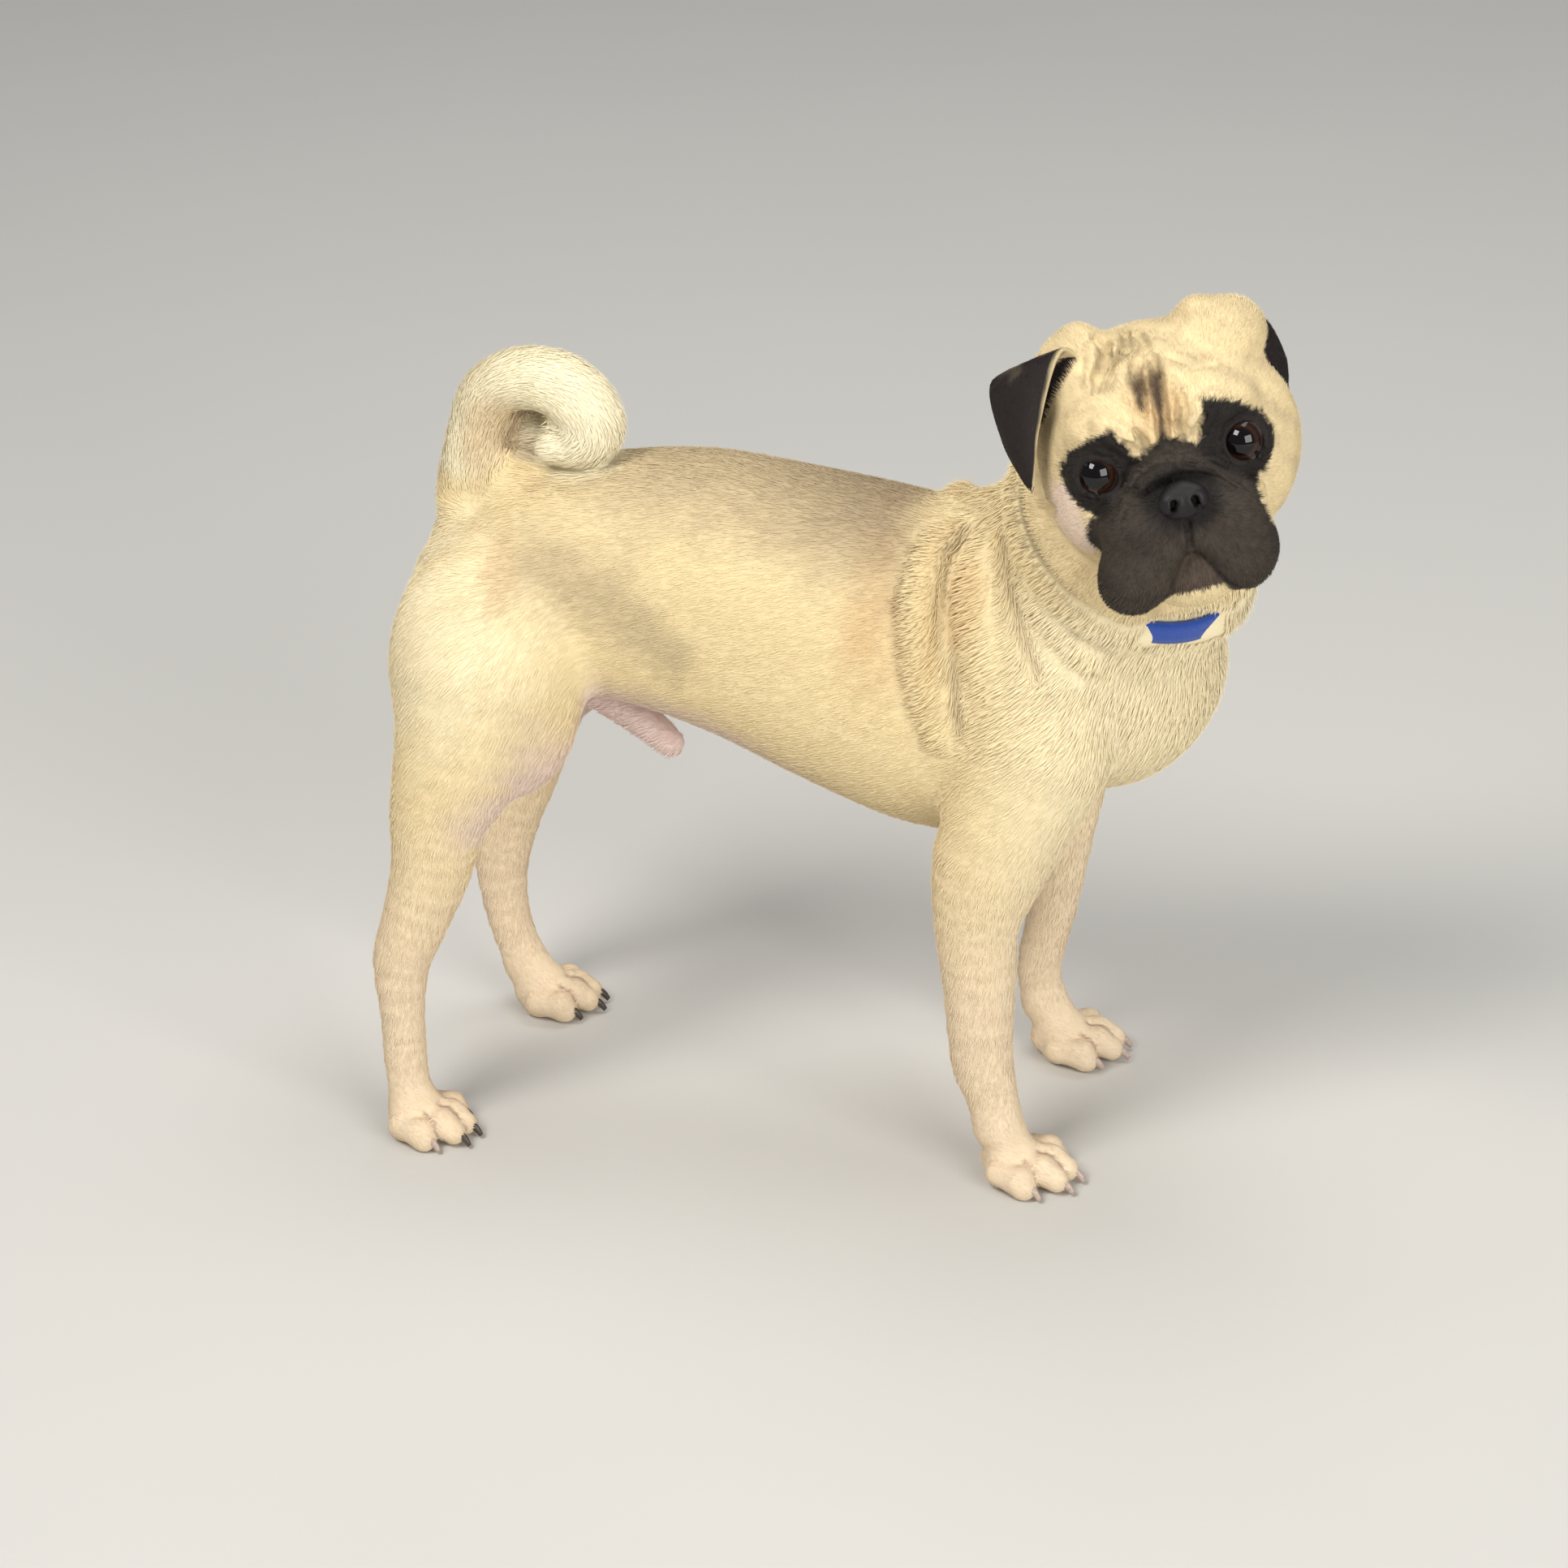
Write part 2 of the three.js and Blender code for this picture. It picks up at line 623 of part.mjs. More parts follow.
for (const [name, { paw }] of Object.entries(LEGS)) {
  PLANES[`${name}_wrist`] = { at: [paw.at[0] - 12, paw.at[1], WRIST_HEIGHT], towards: [0.2, 0, -1] };
  PLANES[`${name}_hock`] = { at: [paw.at[0], paw.at[1], HOCK_HEIGHT], towards: [0, 0, -1] };
}

// Each piece of flesh: the form it is cut from, its box, the cell of its grid, the triangles it is thinned
// to, and the planes that bound it, with a minus sign where the piece lies behind the plane.
const PIECES = {
  head: { low: [95, -125, 245], high: [255, 60, 410], cell: 1.9, triangles: 3700, planes: ["nape"] },
  neck: {
    low: [60, -110, 200],
    high: [235, 70, 380],
    cell: 3.6,
    triangles: 900,
    planes: ["-nape", "shoulder"],
  },
  chest: {
    low: [20, -85, 100],
    high: [220, 85, 310],
    cell: 4.5,
    triangles: 1500,
    planes: ["-shoulder", "ribs", "-fore_right", "-fore_left"],
  },
  belly: { low: [-75, -75, 130], high: [40, 75, 315], cell: 4.5, triangles: 800, planes: ["-ribs", "loin"] },
  rump: {
    low: [-175, -85, 120],
    high: [-55, 85, 300],
    cell: 4.5,
    triangles: 1100,
    planes: ["-loin", "-hind_right", "-hind_left"],
  },
  tail_root: { low: [-150, -35, 235], high: [-90, 35, 320], cell: 3, triangles: 330, planes: ["-arch"] },
  tail_arch: {
    form: tailArch,
    low: [-145, -30, 285],
    high: [-45, 25, 350],
    cell: 3,
    triangles: 420,
    planes: ["arch"],
  },
  tail_tip: {
    form: tailTip,
    low: [-110, -30, 280],
    high: [-45, 25, 330],
    cell: 2.5,
    triangles: 300,
    planes: [],
  },
};
for (const [name, { paw }] of Object.entries(LEGS)) {
  const fore = name.startsWith("fore");
  const [lowY, highY] = paw.at[1] > 0 ? [0, 100] : [-100, 0];
  const [lowX, highX] = fore ? [55, 180] : [-185, -45];
  const piece = (part, lowZ, highZ, cell, triangles, planes) => {
    const low = [lowX, lowY, lowZ];
    const high = [highX, highY, highZ];
    PIECES[`${name}_${part}`] = { low, high, cell, triangles, planes };
  };
  if (fore) piece("arm", 10, 220, 3.2, 700, [name, `-${name}_wrist`]);
  else {
    piece("thigh", 95, 265, 3.8, 750, [name, `-${name}_hock`, paw.at[1] > 0 ? "middle" : "-middle"]);
    piece("shank", 10, 125, 2.6, 500, [`${name}_hock`, `-${name}_wrist`]);
  }
  piece("paw", -8, 50, 1.9, 560, [`${name}_wrist`, "floor"]);
}

const bodies = new Map();
for (const [name, { form = flesh, low, high, cell, triangles, planes }] of Object.entries(PIECES)) {
  const mesh = thin(surface(form, low, high, cell), triangles);
  let made = solid(mesh);
  for (const plane of planes) {
    const behind = plane.startsWith("-");
    const { at, towards } = PLANES[plane.replace("-", "")];
    made = made.intersect(beyond(at, behind ? towards.map((v) => -v) : towards));
  }
  bodies.set(name, largest(made));
}

// The tail's root is let into the rump, inside an upright oval.
const DOCK = { at: [-120, 0], half: [20, 17], low: 262, tall: 90 };
const dockHull = (grow) =>
  solidOf(
    new THREE.CylinderGeometry(1, 1, DOCK.tall, 20)
      .rotateX(Math.PI / 2)
      .scale(DOCK.half[0] + grow, DOCK.half[1] + grow, 1)
      .translate(...DOCK.at, DOCK.low + DOCK.tall / 2 - grow),
  );
bodies.set("tail_root", largest(bodies.get("tail_root").intersect(dockHull(0))));
bodies.set("rump", largest(bodies.get("rump").subtract(dockHull(GAP))));

// The tip fills a hollow in the arch's curl and is a little smaller than that hollow.
bodies.set("tail_arch", largest(bodies.get("tail_arch").subtract(bodies.get("tail_tip"))));
bodies.set("tail_tip", solidOf(shrunk(geometryOf(bodies.get("tail_tip")), TIP_FIT)));

// Claws, four to a paw: horns of a few sides that bend down to the floor, with their roots in the toes
const CLAW = { sides: 6, rings: 4, radius: 2.1, point: 0.5, root: 2.5, length: 8.2, rise: 5, clearance: 0.9 };
function clawGeometry(start, end) {
  const dip = Math.max(start.z - end.z, 0);
  const points = [];
  const forward = new THREE.Vector3().subVectors(end, start).setZ(0).normalize();
  const aside = new THREE.Vector3(-forward.y, forward.x, 0);
  for (let ring = 0; ring < CLAW.rings; ring += 1) {
    const t = ring / (CLAW.rings - 1);
    const middle = new THREE.Vector3().lerpVectors(start, end, t).setZ(start.z - dip * t * t);
    const slope = Math.atan2(2 * dip * t, CLAW.length);
    const radius = CLAW.radius + (CLAW.point - CLAW.radius) * t;
    for (let k = 0; k < CLAW.sides; k += 1) {
      const turn = (2 * Math.PI * k) / CLAW.sides;
      const over = radius * Math.sin(turn);
      const point = middle.clone().addScaledVector(aside, radius * Math.cos(turn));
      point.addScaledVector(forward, over * Math.sin(slope));
      point.z += over * Math.cos(slope);
      points.push(point.toArray());
    }
  }
  const triangles = [];
  for (let ring = 0; ring < CLAW.rings - 1; ring += 1)
    for (let k = 0; k < CLAW.sides; k += 1) {
      const a = ring * CLAW.sides + k;
      const b = ring * CLAW.sides + ((k + 1) % CLAW.sides);
      triangles.push([a, b, b + CLAW.sides], [a, b + CLAW.sides, a + CLAW.sides]);
    }
  const last = (CLAW.rings - 1) * CLAW.sides;
  for (let k = 1; k < CLAW.sides - 1; k += 1) triangles.push([0, k + 1, k], [last, last + k, last + k + 1]);
  return solid({ points, triangles });
}
for (const [name, { paw }] of Object.entries(LEGS)) {
  let made = bodies.get(`${name}_paw`);
  for (const toe of toesOf(paw)) {
    const start = new THREE.Vector3(...toe.end).addScaledVector(toe.forward, CLAW.root).setZ(CLAW.rise);
    const end = start.clone().addScaledVector(toe.forward, CLAW.length - CLAW.root).setZ(CLAW.clearance);
    made = made.add(clawGeometry(start, end));
  }
  bodies.set(`${name}_paw`, largest(made));
}

// Nose leather, cut out of the face by a rounded hull a little larger than the leather
const NOSE = { at: [13.5, 0, -12.6], half: [7.4, 10.8, 8.8] };
const noseHull = (grow) =>
  solidOf(
    new THREE.SphereGeometry(1, 18, 12)
      .rotateZ(Math.PI / 2)
      .scale(...NOSE.half.map((half) => half + grow))
      .translate(...NOSE.at)
      .applyMatrix4(headPose),
  );
bodies.set("nose", largest(bodies.get("head").intersect(noseHull(0))));
bodies.set("head", largest(bodies.get("head").subtract(noseHull(GAP))));

// Eyeballs in their sockets
for (const [name, side] of [["left", 1], ["right", -1]]) {
  const ballOf = (radius) =>
    new THREE.SphereGeometry(radius, 18, 12)
      .translate(EYE.ahead, side * EYE.aside, EYE.up)
      .applyMatrix4(headPose);
  bodies.set(`eye_${name}`, solidOf(ballOf(EYE.radius)));
  bodies.set("head", bodies.get("head").subtract(solidOf(ballOf(EYE.radius + GAP))));
}

// Ears: a flap that rises from the corner of the skull, folds over and hangs, hollow beneath. Each row runs
// from the root over the fold to the tip, along the front edge and then along the back edge.
const EARS = {
  ear_right: {
    side: -1,
    front: [[-27, 25, 42], [-23, 31, 47], [-17, 46, 22], [-13, 52, -1]],
    back: [[-58, 38, 30], [-43, 60, 35.5], [-34, 61, 14], [-17, 56, -2]],
    crown: [[0, 1, 1], [0, 2, -0.5], [4, 2, 0], [0, 0, 0]],
  },
  ear_left: {
    side: 1,
    front: [[-34, 35, 36], [-32, 41.5, 39], [-37, 47, 19], [-43, 51.5, 3]],
    back: [[-68, 37, 22], [-66, 48, 28], [-60, 54, 13], [-48, 54, 2]],
    crown: [[0, 1, 1], [0, 2, 1.5], [0, 2.5, 0], [0, 0, 0]],
  },
};
const EAR_SHEET = { across: 7, along: 11, thick: 3.4, edge: 1.4 };
function earSheet({ side, front, back, crown }) {
  const curveAt = (s) =>
    new THREE.CatmullRomCurve3(
      front.map((start, i) => {
        const swell = 4 * s * (1 - s);
        const between = (value, k) => value + (back[i][k] - value) * s + crown[i][k] * swell;
        const [ahead, aside, up] = start.map(between);
        return new THREE.Vector3(ahead, side * aside, up);
      }),
    );
  const { across, along, thick, edge } = EAR_SHEET;
  const rows = Array.from({ length: across }, (_, i) => curveAt(i / (across - 1)).getPoints(along - 1));
  const points = [];
  for (const face of [1, -1])
    for (let i = 0; i < across; i += 1)
      for (let j = 0; j < along; j += 1) {
        const left = rows[Math.max(i - 1, 0)][j];
        const right = rows[Math.min(i + 1, across - 1)][j];
        const before = rows[i][Math.max(j - 1, 0)];
        const after = rows[i][Math.min(j + 1, along - 1)];
        const normal = right.clone().sub(left).cross(after.clone().sub(before)).normalize();
        const s = i / (across - 1);
        const t = j / (along - 1);
        const inner = Math.min(1, 4 * Math.min(s, 1 - s), 5 * (1 - t));
        const half = (edge + (thick - edge) * inner) / 2;
        points.push(rows[i][j].clone().addScaledVector(normal, face * half).applyMatrix4(headPose).toArray());
      }
  const sheet = across * along;
  const triangles = [];
  const quad = (a, b, c, d) => triangles.push([a, b, c], [a, c, d]);
  for (let i = 0; i < across - 1; i += 1)
    for (let j = 0; j < along - 1; j += 1) {
      const a = i * along + j;
      quad(a, a + along, a + along + 1, a + 1);
      quad(sheet + a, sheet + a + 1, sheet + a + along + 1, sheet + a + along);
    }
  const rim = [];
  for (let j = 0; j < along - 1; j += 1) rim.push(j);
  for (let i = 0; i < across - 1; i += 1) rim.push(i * along + along - 1);
  for (let j = along - 1; j > 0; j -= 1) rim.push((across - 1) * along + j);
  for (let i = across - 1; i > 0; i -= 1) rim.push(i * along);
  rim.forEach((a, k) => {
    const b = rim[(k + 1) % rim.length];
    quad(a, b, sheet + b, sheet + a);
  });
  return solid({ points, triangles });
}
for (const [name, shape] of Object.entries(EARS)) {
  const apart = new THREE.Vector3(0, shape.side, 0.8).transformDirection(headPose);
  const cut = largest(earSheet(shape).subtract(bodies.get("head")));
  bodies.set(name, solidOf(geometryOf(cut).translate(...apart.multiplyScalar(2 * GAP))));
}

// Collar: a band round the neck, sunk a little into the coat
const COLLAR = {
  at: [159.7, -23.3, 284.2],
  axis: [0.57, -0.42, 0.72],
  wide: 10,
  thick: 2.6,
  sunk: 0.9,
  steps: 36,
  reach: 80,
};
function collarBand(grow) {
  const axis = new THREE.Vector3(...COLLAR.axis).normalize();
  const turn = new THREE.Quaternion().setFromUnitVectors(new THREE.Vector3(0, 0, 1), axis);
  const points = [];
  for (let k = 0; k < COLLAR.steps; k += 1) {
    const angle = (2 * Math.PI * k) / COLLAR.steps;
    const out = new THREE.Vector3(Math.cos(angle), Math.sin(angle), 0).applyQuaternion(turn);
    for (const [along, side] of [[-1, 0], [1, 0], [1, 1], [-1, 1]]) {
      const start = new THREE.Vector3(...COLLAR.at).addScaledVector(axis, (along * COLLAR.wide) / 2);
      let near = 0;
      let far = COLLAR.reach;
      for (let step = 0; step < 20; step += 1) {
        const middle = (near + far) / 2;
        if (body(...start.clone().addScaledVector(out, middle).toArray()) < 0) near = middle;
        else far = middle;
      }
      const radius = near - COLLAR.sunk - grow + side * (COLLAR.thick + 2 * grow);
      points.push(start.addScaledVector(out, radius).addScaledVector(axis, along * grow).toArray());
    }
  }
  const triangles = [];
  for (let k = 0; k < COLLAR.steps; k += 1)
    for (let c = 0; c < 4; c += 1) {
      const a = 4 * k + c;
      const b = 4 * k + ((c + 1) % 4);
      const next = 4 * ((k + 1) % COLLAR.steps) - 4 * k;
      triangles.push([a, b, b + next], [a, b + next, a + next]);
    }
  return solid({ points, triangles });
}
bodies.set("collar", collarBand(0));
bodies.set("neck", largest(bodies.get("neck").subtract(collarBand(GAP))));
for (const name of ["head", "chest"]) bodies.set(name, largest(bodies.get(name).subtract(collarBand(GAP))));

const FINISH = {
  coat: { color: 0xe6d3a6, roughness: 0.9 },
  dark: { color: 0x2a2523, roughness: 0.85 },
  nose: { color: 0x1b1817, roughness: 0.5 },
  eye: { color: 0x2a160c, roughness: 0.08 },
  collar: { color: 0x1c56b4, roughness: 0.7 },
};
const finishOf = (name) => {
  if (name.startsWith("ear")) return "dark";
  return FINISH[name.split("_")[0]] ? name.split("_")[0] : "coat";
};
// The model stands with its middle over the origin and its paws on the floor.
const box = new THREE.Box3();
for (const made of bodies.values()) {
  const geometry = geometryOf(made);
  geometry.computeBoundingBox();
  box.union(geometry.boundingBox);
}
const middle = box.getCenter(new THREE.Vector3());
const group = new THREE.Group();
for (const [name, made] of bodies) {
  const { color, roughness } = FINISH[finishOf(name)];
  const geometry = geometryOf(made).translate(-middle.x, -middle.y, -box.min.z);
  const mesh = new THREE.Mesh(geometry, new THREE.MeshStandardMaterial({ color, roughness, metalness: 0 }));
  mesh.name = name;
  group.add(mesh);
}
export default group;
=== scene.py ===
"""A slim male pug standing square, head turned to its right, as a still, life-size model.

Sizes in the tables below are millimetres. X runs forward along the back, Y to the dog's left, Z up from
the floor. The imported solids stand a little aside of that, by SHIFT, which is read off the eyes.
"""

import math

import bmesh
import bpy
import numpy as np
from mathutils import Matrix, Vector


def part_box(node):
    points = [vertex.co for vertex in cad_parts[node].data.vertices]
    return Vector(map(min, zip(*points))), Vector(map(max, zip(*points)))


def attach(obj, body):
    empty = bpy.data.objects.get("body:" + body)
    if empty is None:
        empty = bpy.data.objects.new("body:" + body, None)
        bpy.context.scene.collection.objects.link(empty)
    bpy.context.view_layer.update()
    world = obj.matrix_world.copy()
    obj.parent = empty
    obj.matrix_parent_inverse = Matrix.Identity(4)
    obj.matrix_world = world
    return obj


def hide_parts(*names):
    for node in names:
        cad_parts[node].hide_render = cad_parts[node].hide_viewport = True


bl_info = {
    "name": "Standing Pug",
    "version": (1, 0, 0),
    "blender": (4, 5, 0),
    "location": "3D View > Sidebar > Pug",
    "description": "Builds the skin, face, coat, claws and collar of a standing pug, and its stage",
    "category": "Add Mesh",
}

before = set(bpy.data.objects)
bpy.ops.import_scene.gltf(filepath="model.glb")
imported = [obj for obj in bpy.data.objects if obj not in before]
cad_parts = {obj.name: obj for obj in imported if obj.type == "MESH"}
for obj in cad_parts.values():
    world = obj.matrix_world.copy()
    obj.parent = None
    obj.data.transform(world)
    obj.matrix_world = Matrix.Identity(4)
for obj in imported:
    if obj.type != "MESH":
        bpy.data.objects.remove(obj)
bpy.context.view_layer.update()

MM = 0.001
AXES = np.eye(3)


# The dog's own frame and its head's

def turned(axis, degrees):
    return np.array(Matrix.Rotation(math.radians(degrees), 3, axis))


# The head's origin lies midway between the pupils. Its axes run forward out of the face, to the dog's
# left and up through the skull.
HEAD_AT = np.array([187.0, -85.0, 342.0])
HEAD_TURN = turned("Z", -74.4) @ turned("Y", -8.2) @ turned("X", 10.7)
EYE = {"ahead": -9.0, "aside": 28.7, "up": 0.0, "radius": 10.6}


def on_head(points):
    return np.asarray(points, float) @ HEAD_TURN.T + HEAD_AT


def into_head(points):
    return (points - HEAD_AT) @ HEAD_TURN


def eye_centre(side):
    return on_head([EYE["ahead"], side * EYE["aside"], EYE["up"]])


def box_middle(node):
    low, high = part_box(node)
    return np.array((low + high) / 2)


SHIFT = box_middle("eye_right") / MM - eye_centre(-1)


def to_row(points):
    """From the dog's own frame in millimetres to the model's frame in metres."""
    return (np.asarray(points, float) + SHIFT) * MM


# Rounded forms

def long_of(x, y, z):
    return np.sqrt(x * x + y * y + z * z)


def unit(vectors):
    return vectors / np.maximum(np.linalg.norm(vectors, axis=-1, keepdims=True), 1e-9)


def smooth(low, high, value):
    t = np.clip((value - low) / (high - low), 0, 1)
    return t * t * (3 - 2 * t)


class Form:
    """A rounded form. away(points) gives about how far points lie outside it, and the form lies within
    reach of its centre."""

    def __init__(self, away, centre, reach):
        self.away = away
        self.centre = np.asarray(centre, float)
        self.reach = reach


def ball(centre, half, turn=0.0, nod=0.0):
    """A ball stretched to three half sizes, which may be turned about the upright axis and nod."""
    cx, cy, cz = centre
    rx, ry, rz = half
    cos_turn, sin_turn = math.cos(math.radians(turn)), math.sin(math.radians(turn))
    cos_nod, sin_nod = math.cos(math.radians(nod)), math.sin(math.radians(nod))

    def away(p):
        x, y, z = p[:, 0] - cx, p[:, 1] - cy, p[:, 2] - cz
        across = x * cos_turn + y * sin_turn
        v = y * cos_turn - x * sin_turn
        u = across * cos_nod + z * sin_nod
        w = z * cos_nod - across * sin_nod
        near = long_of(u / rx, v / ry, w / rz)
        slope = long_of(u / rx**2, v / ry**2, w / rz**2)
        return np.where(slope < 1e-9, -min(half), near * (near - 1) / np.maximum(slope, 1e-9))

    return Form(away, centre, max(half))


def rod(a, b, flat=1.0):
    """A rod between two points, each given with its radius, made narrower from side to side by flat."""
    start, end = np.array(a[:3], float), np.array(b[:3], float)
    ra, rb = a[3], b[3]
    run = end - start
    long2 = max(run @ run, 1e-9)

    def away(p):
        t = np.clip((p - start) @ run / long2, 0, 1)
        q = p - start - t[:, None] * run
        return (long_of(q[:, 0], q[:, 1] / flat, q[:, 2]) - ra - t * (rb - ra)) * math.sqrt(flat)

    return Form(away, (start + end) / 2, math.sqrt(long2) / 2 + max(ra, rb))


def chain(joints, flat=1.0):
    return [rod(a, b, flat) for a, b in zip(joints, joints[1:])]


def melt(a, b, width):
    """Two forms melt into each other over about the given width."""
    h = np.maximum(width - np.abs(a - b), 0) / width
    return np.minimum(a, b) - h * h * width / 4


def carve(a, b, width):
    return -melt(-a, b, width)


OUTSIDE = 60.0
NEAR = 26.0


def worked(d, points, groups, join=melt):
    """Adds groups of forms to a field, or carves them, where they come near."""
    for width, forms in groups:
        for form in forms:
            gap = points - form.centre
            near = np.flatnonzero(np.einsum("ij,ij->i", gap, gap) < (form.reach + NEAR) ** 2)
            if len(near):
                d[near] = join(d[near], form.away(points[near]), width)
    return d


def fold(groups):
    return lambda points: worked(np.full(len(points), OUTSIDE), points, groups)


def smooth_curve(knots, count):
    """Points along a smooth curve through knots."""
    knots = np.array(knots, float)
    full = np.vstack([2 * knots[0] - knots[1], knots, 2 * knots[-1] - knots[-2]])
    places = np.linspace(0, len(knots) - 1, count)
    points = []
    for place in places:
        i = min(int(place), len(knots) - 2)
        t = place - i
        p0, p1, p2, p3 = full[i : i + 4]
        d0, d1, d2 = [max(np.linalg.norm(b - a) ** 0.5, 1e-4) for a, b in ((p0, p1), (p1, p2), (p2, p3))]
        t1 = ((p1 - p0) / d0 - (p2 - p0) / (d0 + d1) + (p2 - p1) / d1) * d1
        t2 = ((p2 - p1) / d1 - (p3 - p1) / (d1 + d2) + (p3 - p2) / d2) * d1
        square, cube = -3 * p1 + 3 * p2 - 2 * t1 - t2, 2 * p1 - 2 * p2 + t1 + t2
        points.append(p1 + t1 * t + square * t * t + cube * t**3)
    return np.array(points)


LIMB = {"steps": 3, "melt": 0.8}


def limb(joints, flat=1.0):
    """One smooth form along a curve through joints."""
    curve = smooth_curve(joints, LIMB["steps"] * (len(joints) - 1) + 1)
    middle = curve[:, :3].mean(0)
    reach = (np.linalg.norm(curve[:, :3] - middle, axis=1) + curve[:, 3]).max()
    return Form(fold([(LIMB["melt"], chain(curve.tolist(), flat))]), middle, reach)


def mirrored(joints, side):
    return [(x, side * y, z, *rest) for x, y, z, *rest in joints]


def slope(field, points, step=0.3):
    return np.stack([field(points + step * e) - field(points - step * e) for e in AXES], 1) / (2 * step)


# Trunk

TRUNK = np.array(
    [
        # place along the back, height of the back, height of the belly, half width
        (-135, 258, 200, 38),
        (-98, 286, 188, 45),
        (-60, 295.5, 186, 43),
        (-20, 298.5, 175, 47),
        (25, 292, 156, 54),
        (65, 285, 141, 57),
        (100, 278, 138, 56),
        (135, 270, 146, 52),
    ],
    float,
)
TRUNK_ROUNDNESS = 2.3


def trunk_away(p):
    """How far points lie out of the trunk, whose rows are joined by smooth curves."""
    x = p[:, 0]
    row = np.clip(np.searchsorted(TRUNK[:, 0], x), 1, len(TRUNK) - 2)
    before, start = TRUNK[np.maximum(row - 2, 0)], TRUNK[row - 1]
    end, after = TRUNK[row], TRUNK[np.minimum(row + 1, len(TRUNK) - 1)]
    span = (end - start)[:, :1]
    t = np.clip((x - start[:, 0]) / span[:, 0], 0, 1)[:, None]
    start_slope = (end - before) / (end - before)[:, :1] * span
    end_slope = (after - start) / (after - start)[:, :1] * span
    rise = end - start
    square, cube = 3 * rise - 2 * start_slope - end_slope, start_slope + end_slope - 2 * rise
    _, top, bottom, half = (start + t * (start_slope + t * (square + t * cube))).T
    tall = (top - bottom) / 2
    u = np.abs(p[:, 1] / half) ** TRUNK_ROUNDNESS
    w = np.abs((p[:, 2] - (top + bottom) / 2) / tall) ** TRUNK_ROUNDNESS
    round_ = ((u + w) ** (1 / TRUNK_ROUNDNESS) - 1) * np.minimum(half, tall)
    return np.maximum(round_, np.maximum(x - TRUNK[-1, 0], TRUNK[0, 0] - x))


FLESH = [
    (10, [Form(trunk_away, (0, 0, 220), 190), ball((-106, 0, 224), (46, 48, 47))]),
    # forechest
    (16, [
        ball((143, 0, 216), (53, 48, 56)),
        ball((163, 0, 222), (29, 32, 34)),
        ball((171, -10, 262), (32, 34, 34)),
    ]),
]
for side in (-1, 1):
    shoulder = ball((122, side * 40, 214), (36, 26, 54), 0, -20)
    thigh = ball((-110, side * 36, 205), (42, 26, 56), 0, 8)
    FLESH.append((12, [shoulder, thigh]))
# neck
FLESH.append((14, [
    rod((110, 0, 235, 44), (153, -17, 279, 43)), rod((147, -10, 261, 45), (171, -34, 310, 41))
]))

# Legs, joint by joint from the trunk down to the paw, with the paw's middle, turn, length and width
LEGS = {
    "fore_right": {
        "joints": [
            (128, -48, 196, 30), (108, -54, 148, 25), (102, -56, 121, 19), (102.5, -56, 94, 16.5),
            (103, -56, 60, 14), (104, -56, 51, 13), (107.3, -57, 39, 10.9), (110.5, -58, 24, 10.3),
        ],
        "paw": (122, -59, -15, 48, 40),
    },
    "fore_left": {
        "joints": [
            (128, 48, 196, 30), (119, 52, 148, 24), (118, 54, 118, 17.5), (114, 55, 72, 11.9),
            (108, 54.5, 40, 9.4), (110.5, 54, 24, 9.3),
        ],
        "paw": (124.5, 52.5, 3, 47, 40),
    },
    "hind_right": {
        "joints": [
            (-112, -42, 206, 34), (-120, -50, 172, 28), (-128, -55, 150, 21.5), (-132, -57, 126, 18),
            (-141, -59, 99, 14.8), (-147, -60, 82, 13.2), (-148, -61, 50, 9.6), (-147.3, -62, 27, 9),
            (-145.5, -62.5, 15, 9),
        ],
        "paw": (-138.5, -64, -15, 44, 37),
    },
    "hind_left": {
        "joints": [
            (-108, 42, 206, 34), (-112, 48, 172, 28), (-116, 53, 146, 20.5), (-122, 55, 120, 16.5),
            (-131, 57, 94, 14.5), (-136, 58, 72, 13), (-134, 58, 43, 9.6), (-127, 58, 20, 9.4),
        ],
        "paw": (-113.5, 56.5, 6, 43, 37),
    },
}
# How narrow a leg is from side to side, and how much thicker than the joints say
LEG = {"flat": 0.86, "grown": 0.9}
TOES = 4
# Root, knuckle and end of the middle toes, and how the outer ones differ
TOE = {
    "radius": (6.0, 7.0, 6.0), "up": (10, 9.2, 6.2), "root": -7, "reach": 0.37, "along": (0.6, 1.0),
    "out": (0.9, 1.0, 1.06), "set_back": 0.24, "lower": 0.2, "splay": 8, "inset": 0.8,
}
HEEL = {"along": -0.27, "up": 8, "radius": 8.2}
ANKLE = {"along": -0.1, "up": 12, "radius": 9.6}
INSTEP = {"along": -0.06, "up": 9, "radius": 9.5}
PAD = {"along": -6, "aside": 8, "up": 7, "radius": 8.6}


def on_paw(paw, along, across, up, radius):
    x, y, turn = paw[:3]
    c, s = math.cos(math.radians(turn)), math.sin(math.radians(turn))
    return (x + along * c - across * s, y + along * s + across * c, up, radius)


def toes_of(paw):
    """Root, knuckle and end of each toe of a paw, and its heading in degrees."""
    _, _, turn, long, wide = paw
    toes = []
    for i in range(TOES):
        s = 2 * i / (TOES - 1) - 1
        reach = long * (TOE["reach"] - TOE["set_back"] * s * s)
        spread = s * (wide / 2 - TOE["inset"] * TOE["radius"][1])
        joints = [
            on_paw(paw, along, across, up, radius)
            for along, across, up, radius in zip(
                (TOE["root"], *[reach * share for share in TOE["along"]]),
                [spread * share for share in TOE["out"]],
                [up * (1 - TOE["lower"] * s * s) for up in TOE["up"]],
                TOE["radius"],
            )
        ]
        toes.append((joints, turn + TOE["splay"] * s))
    return toes


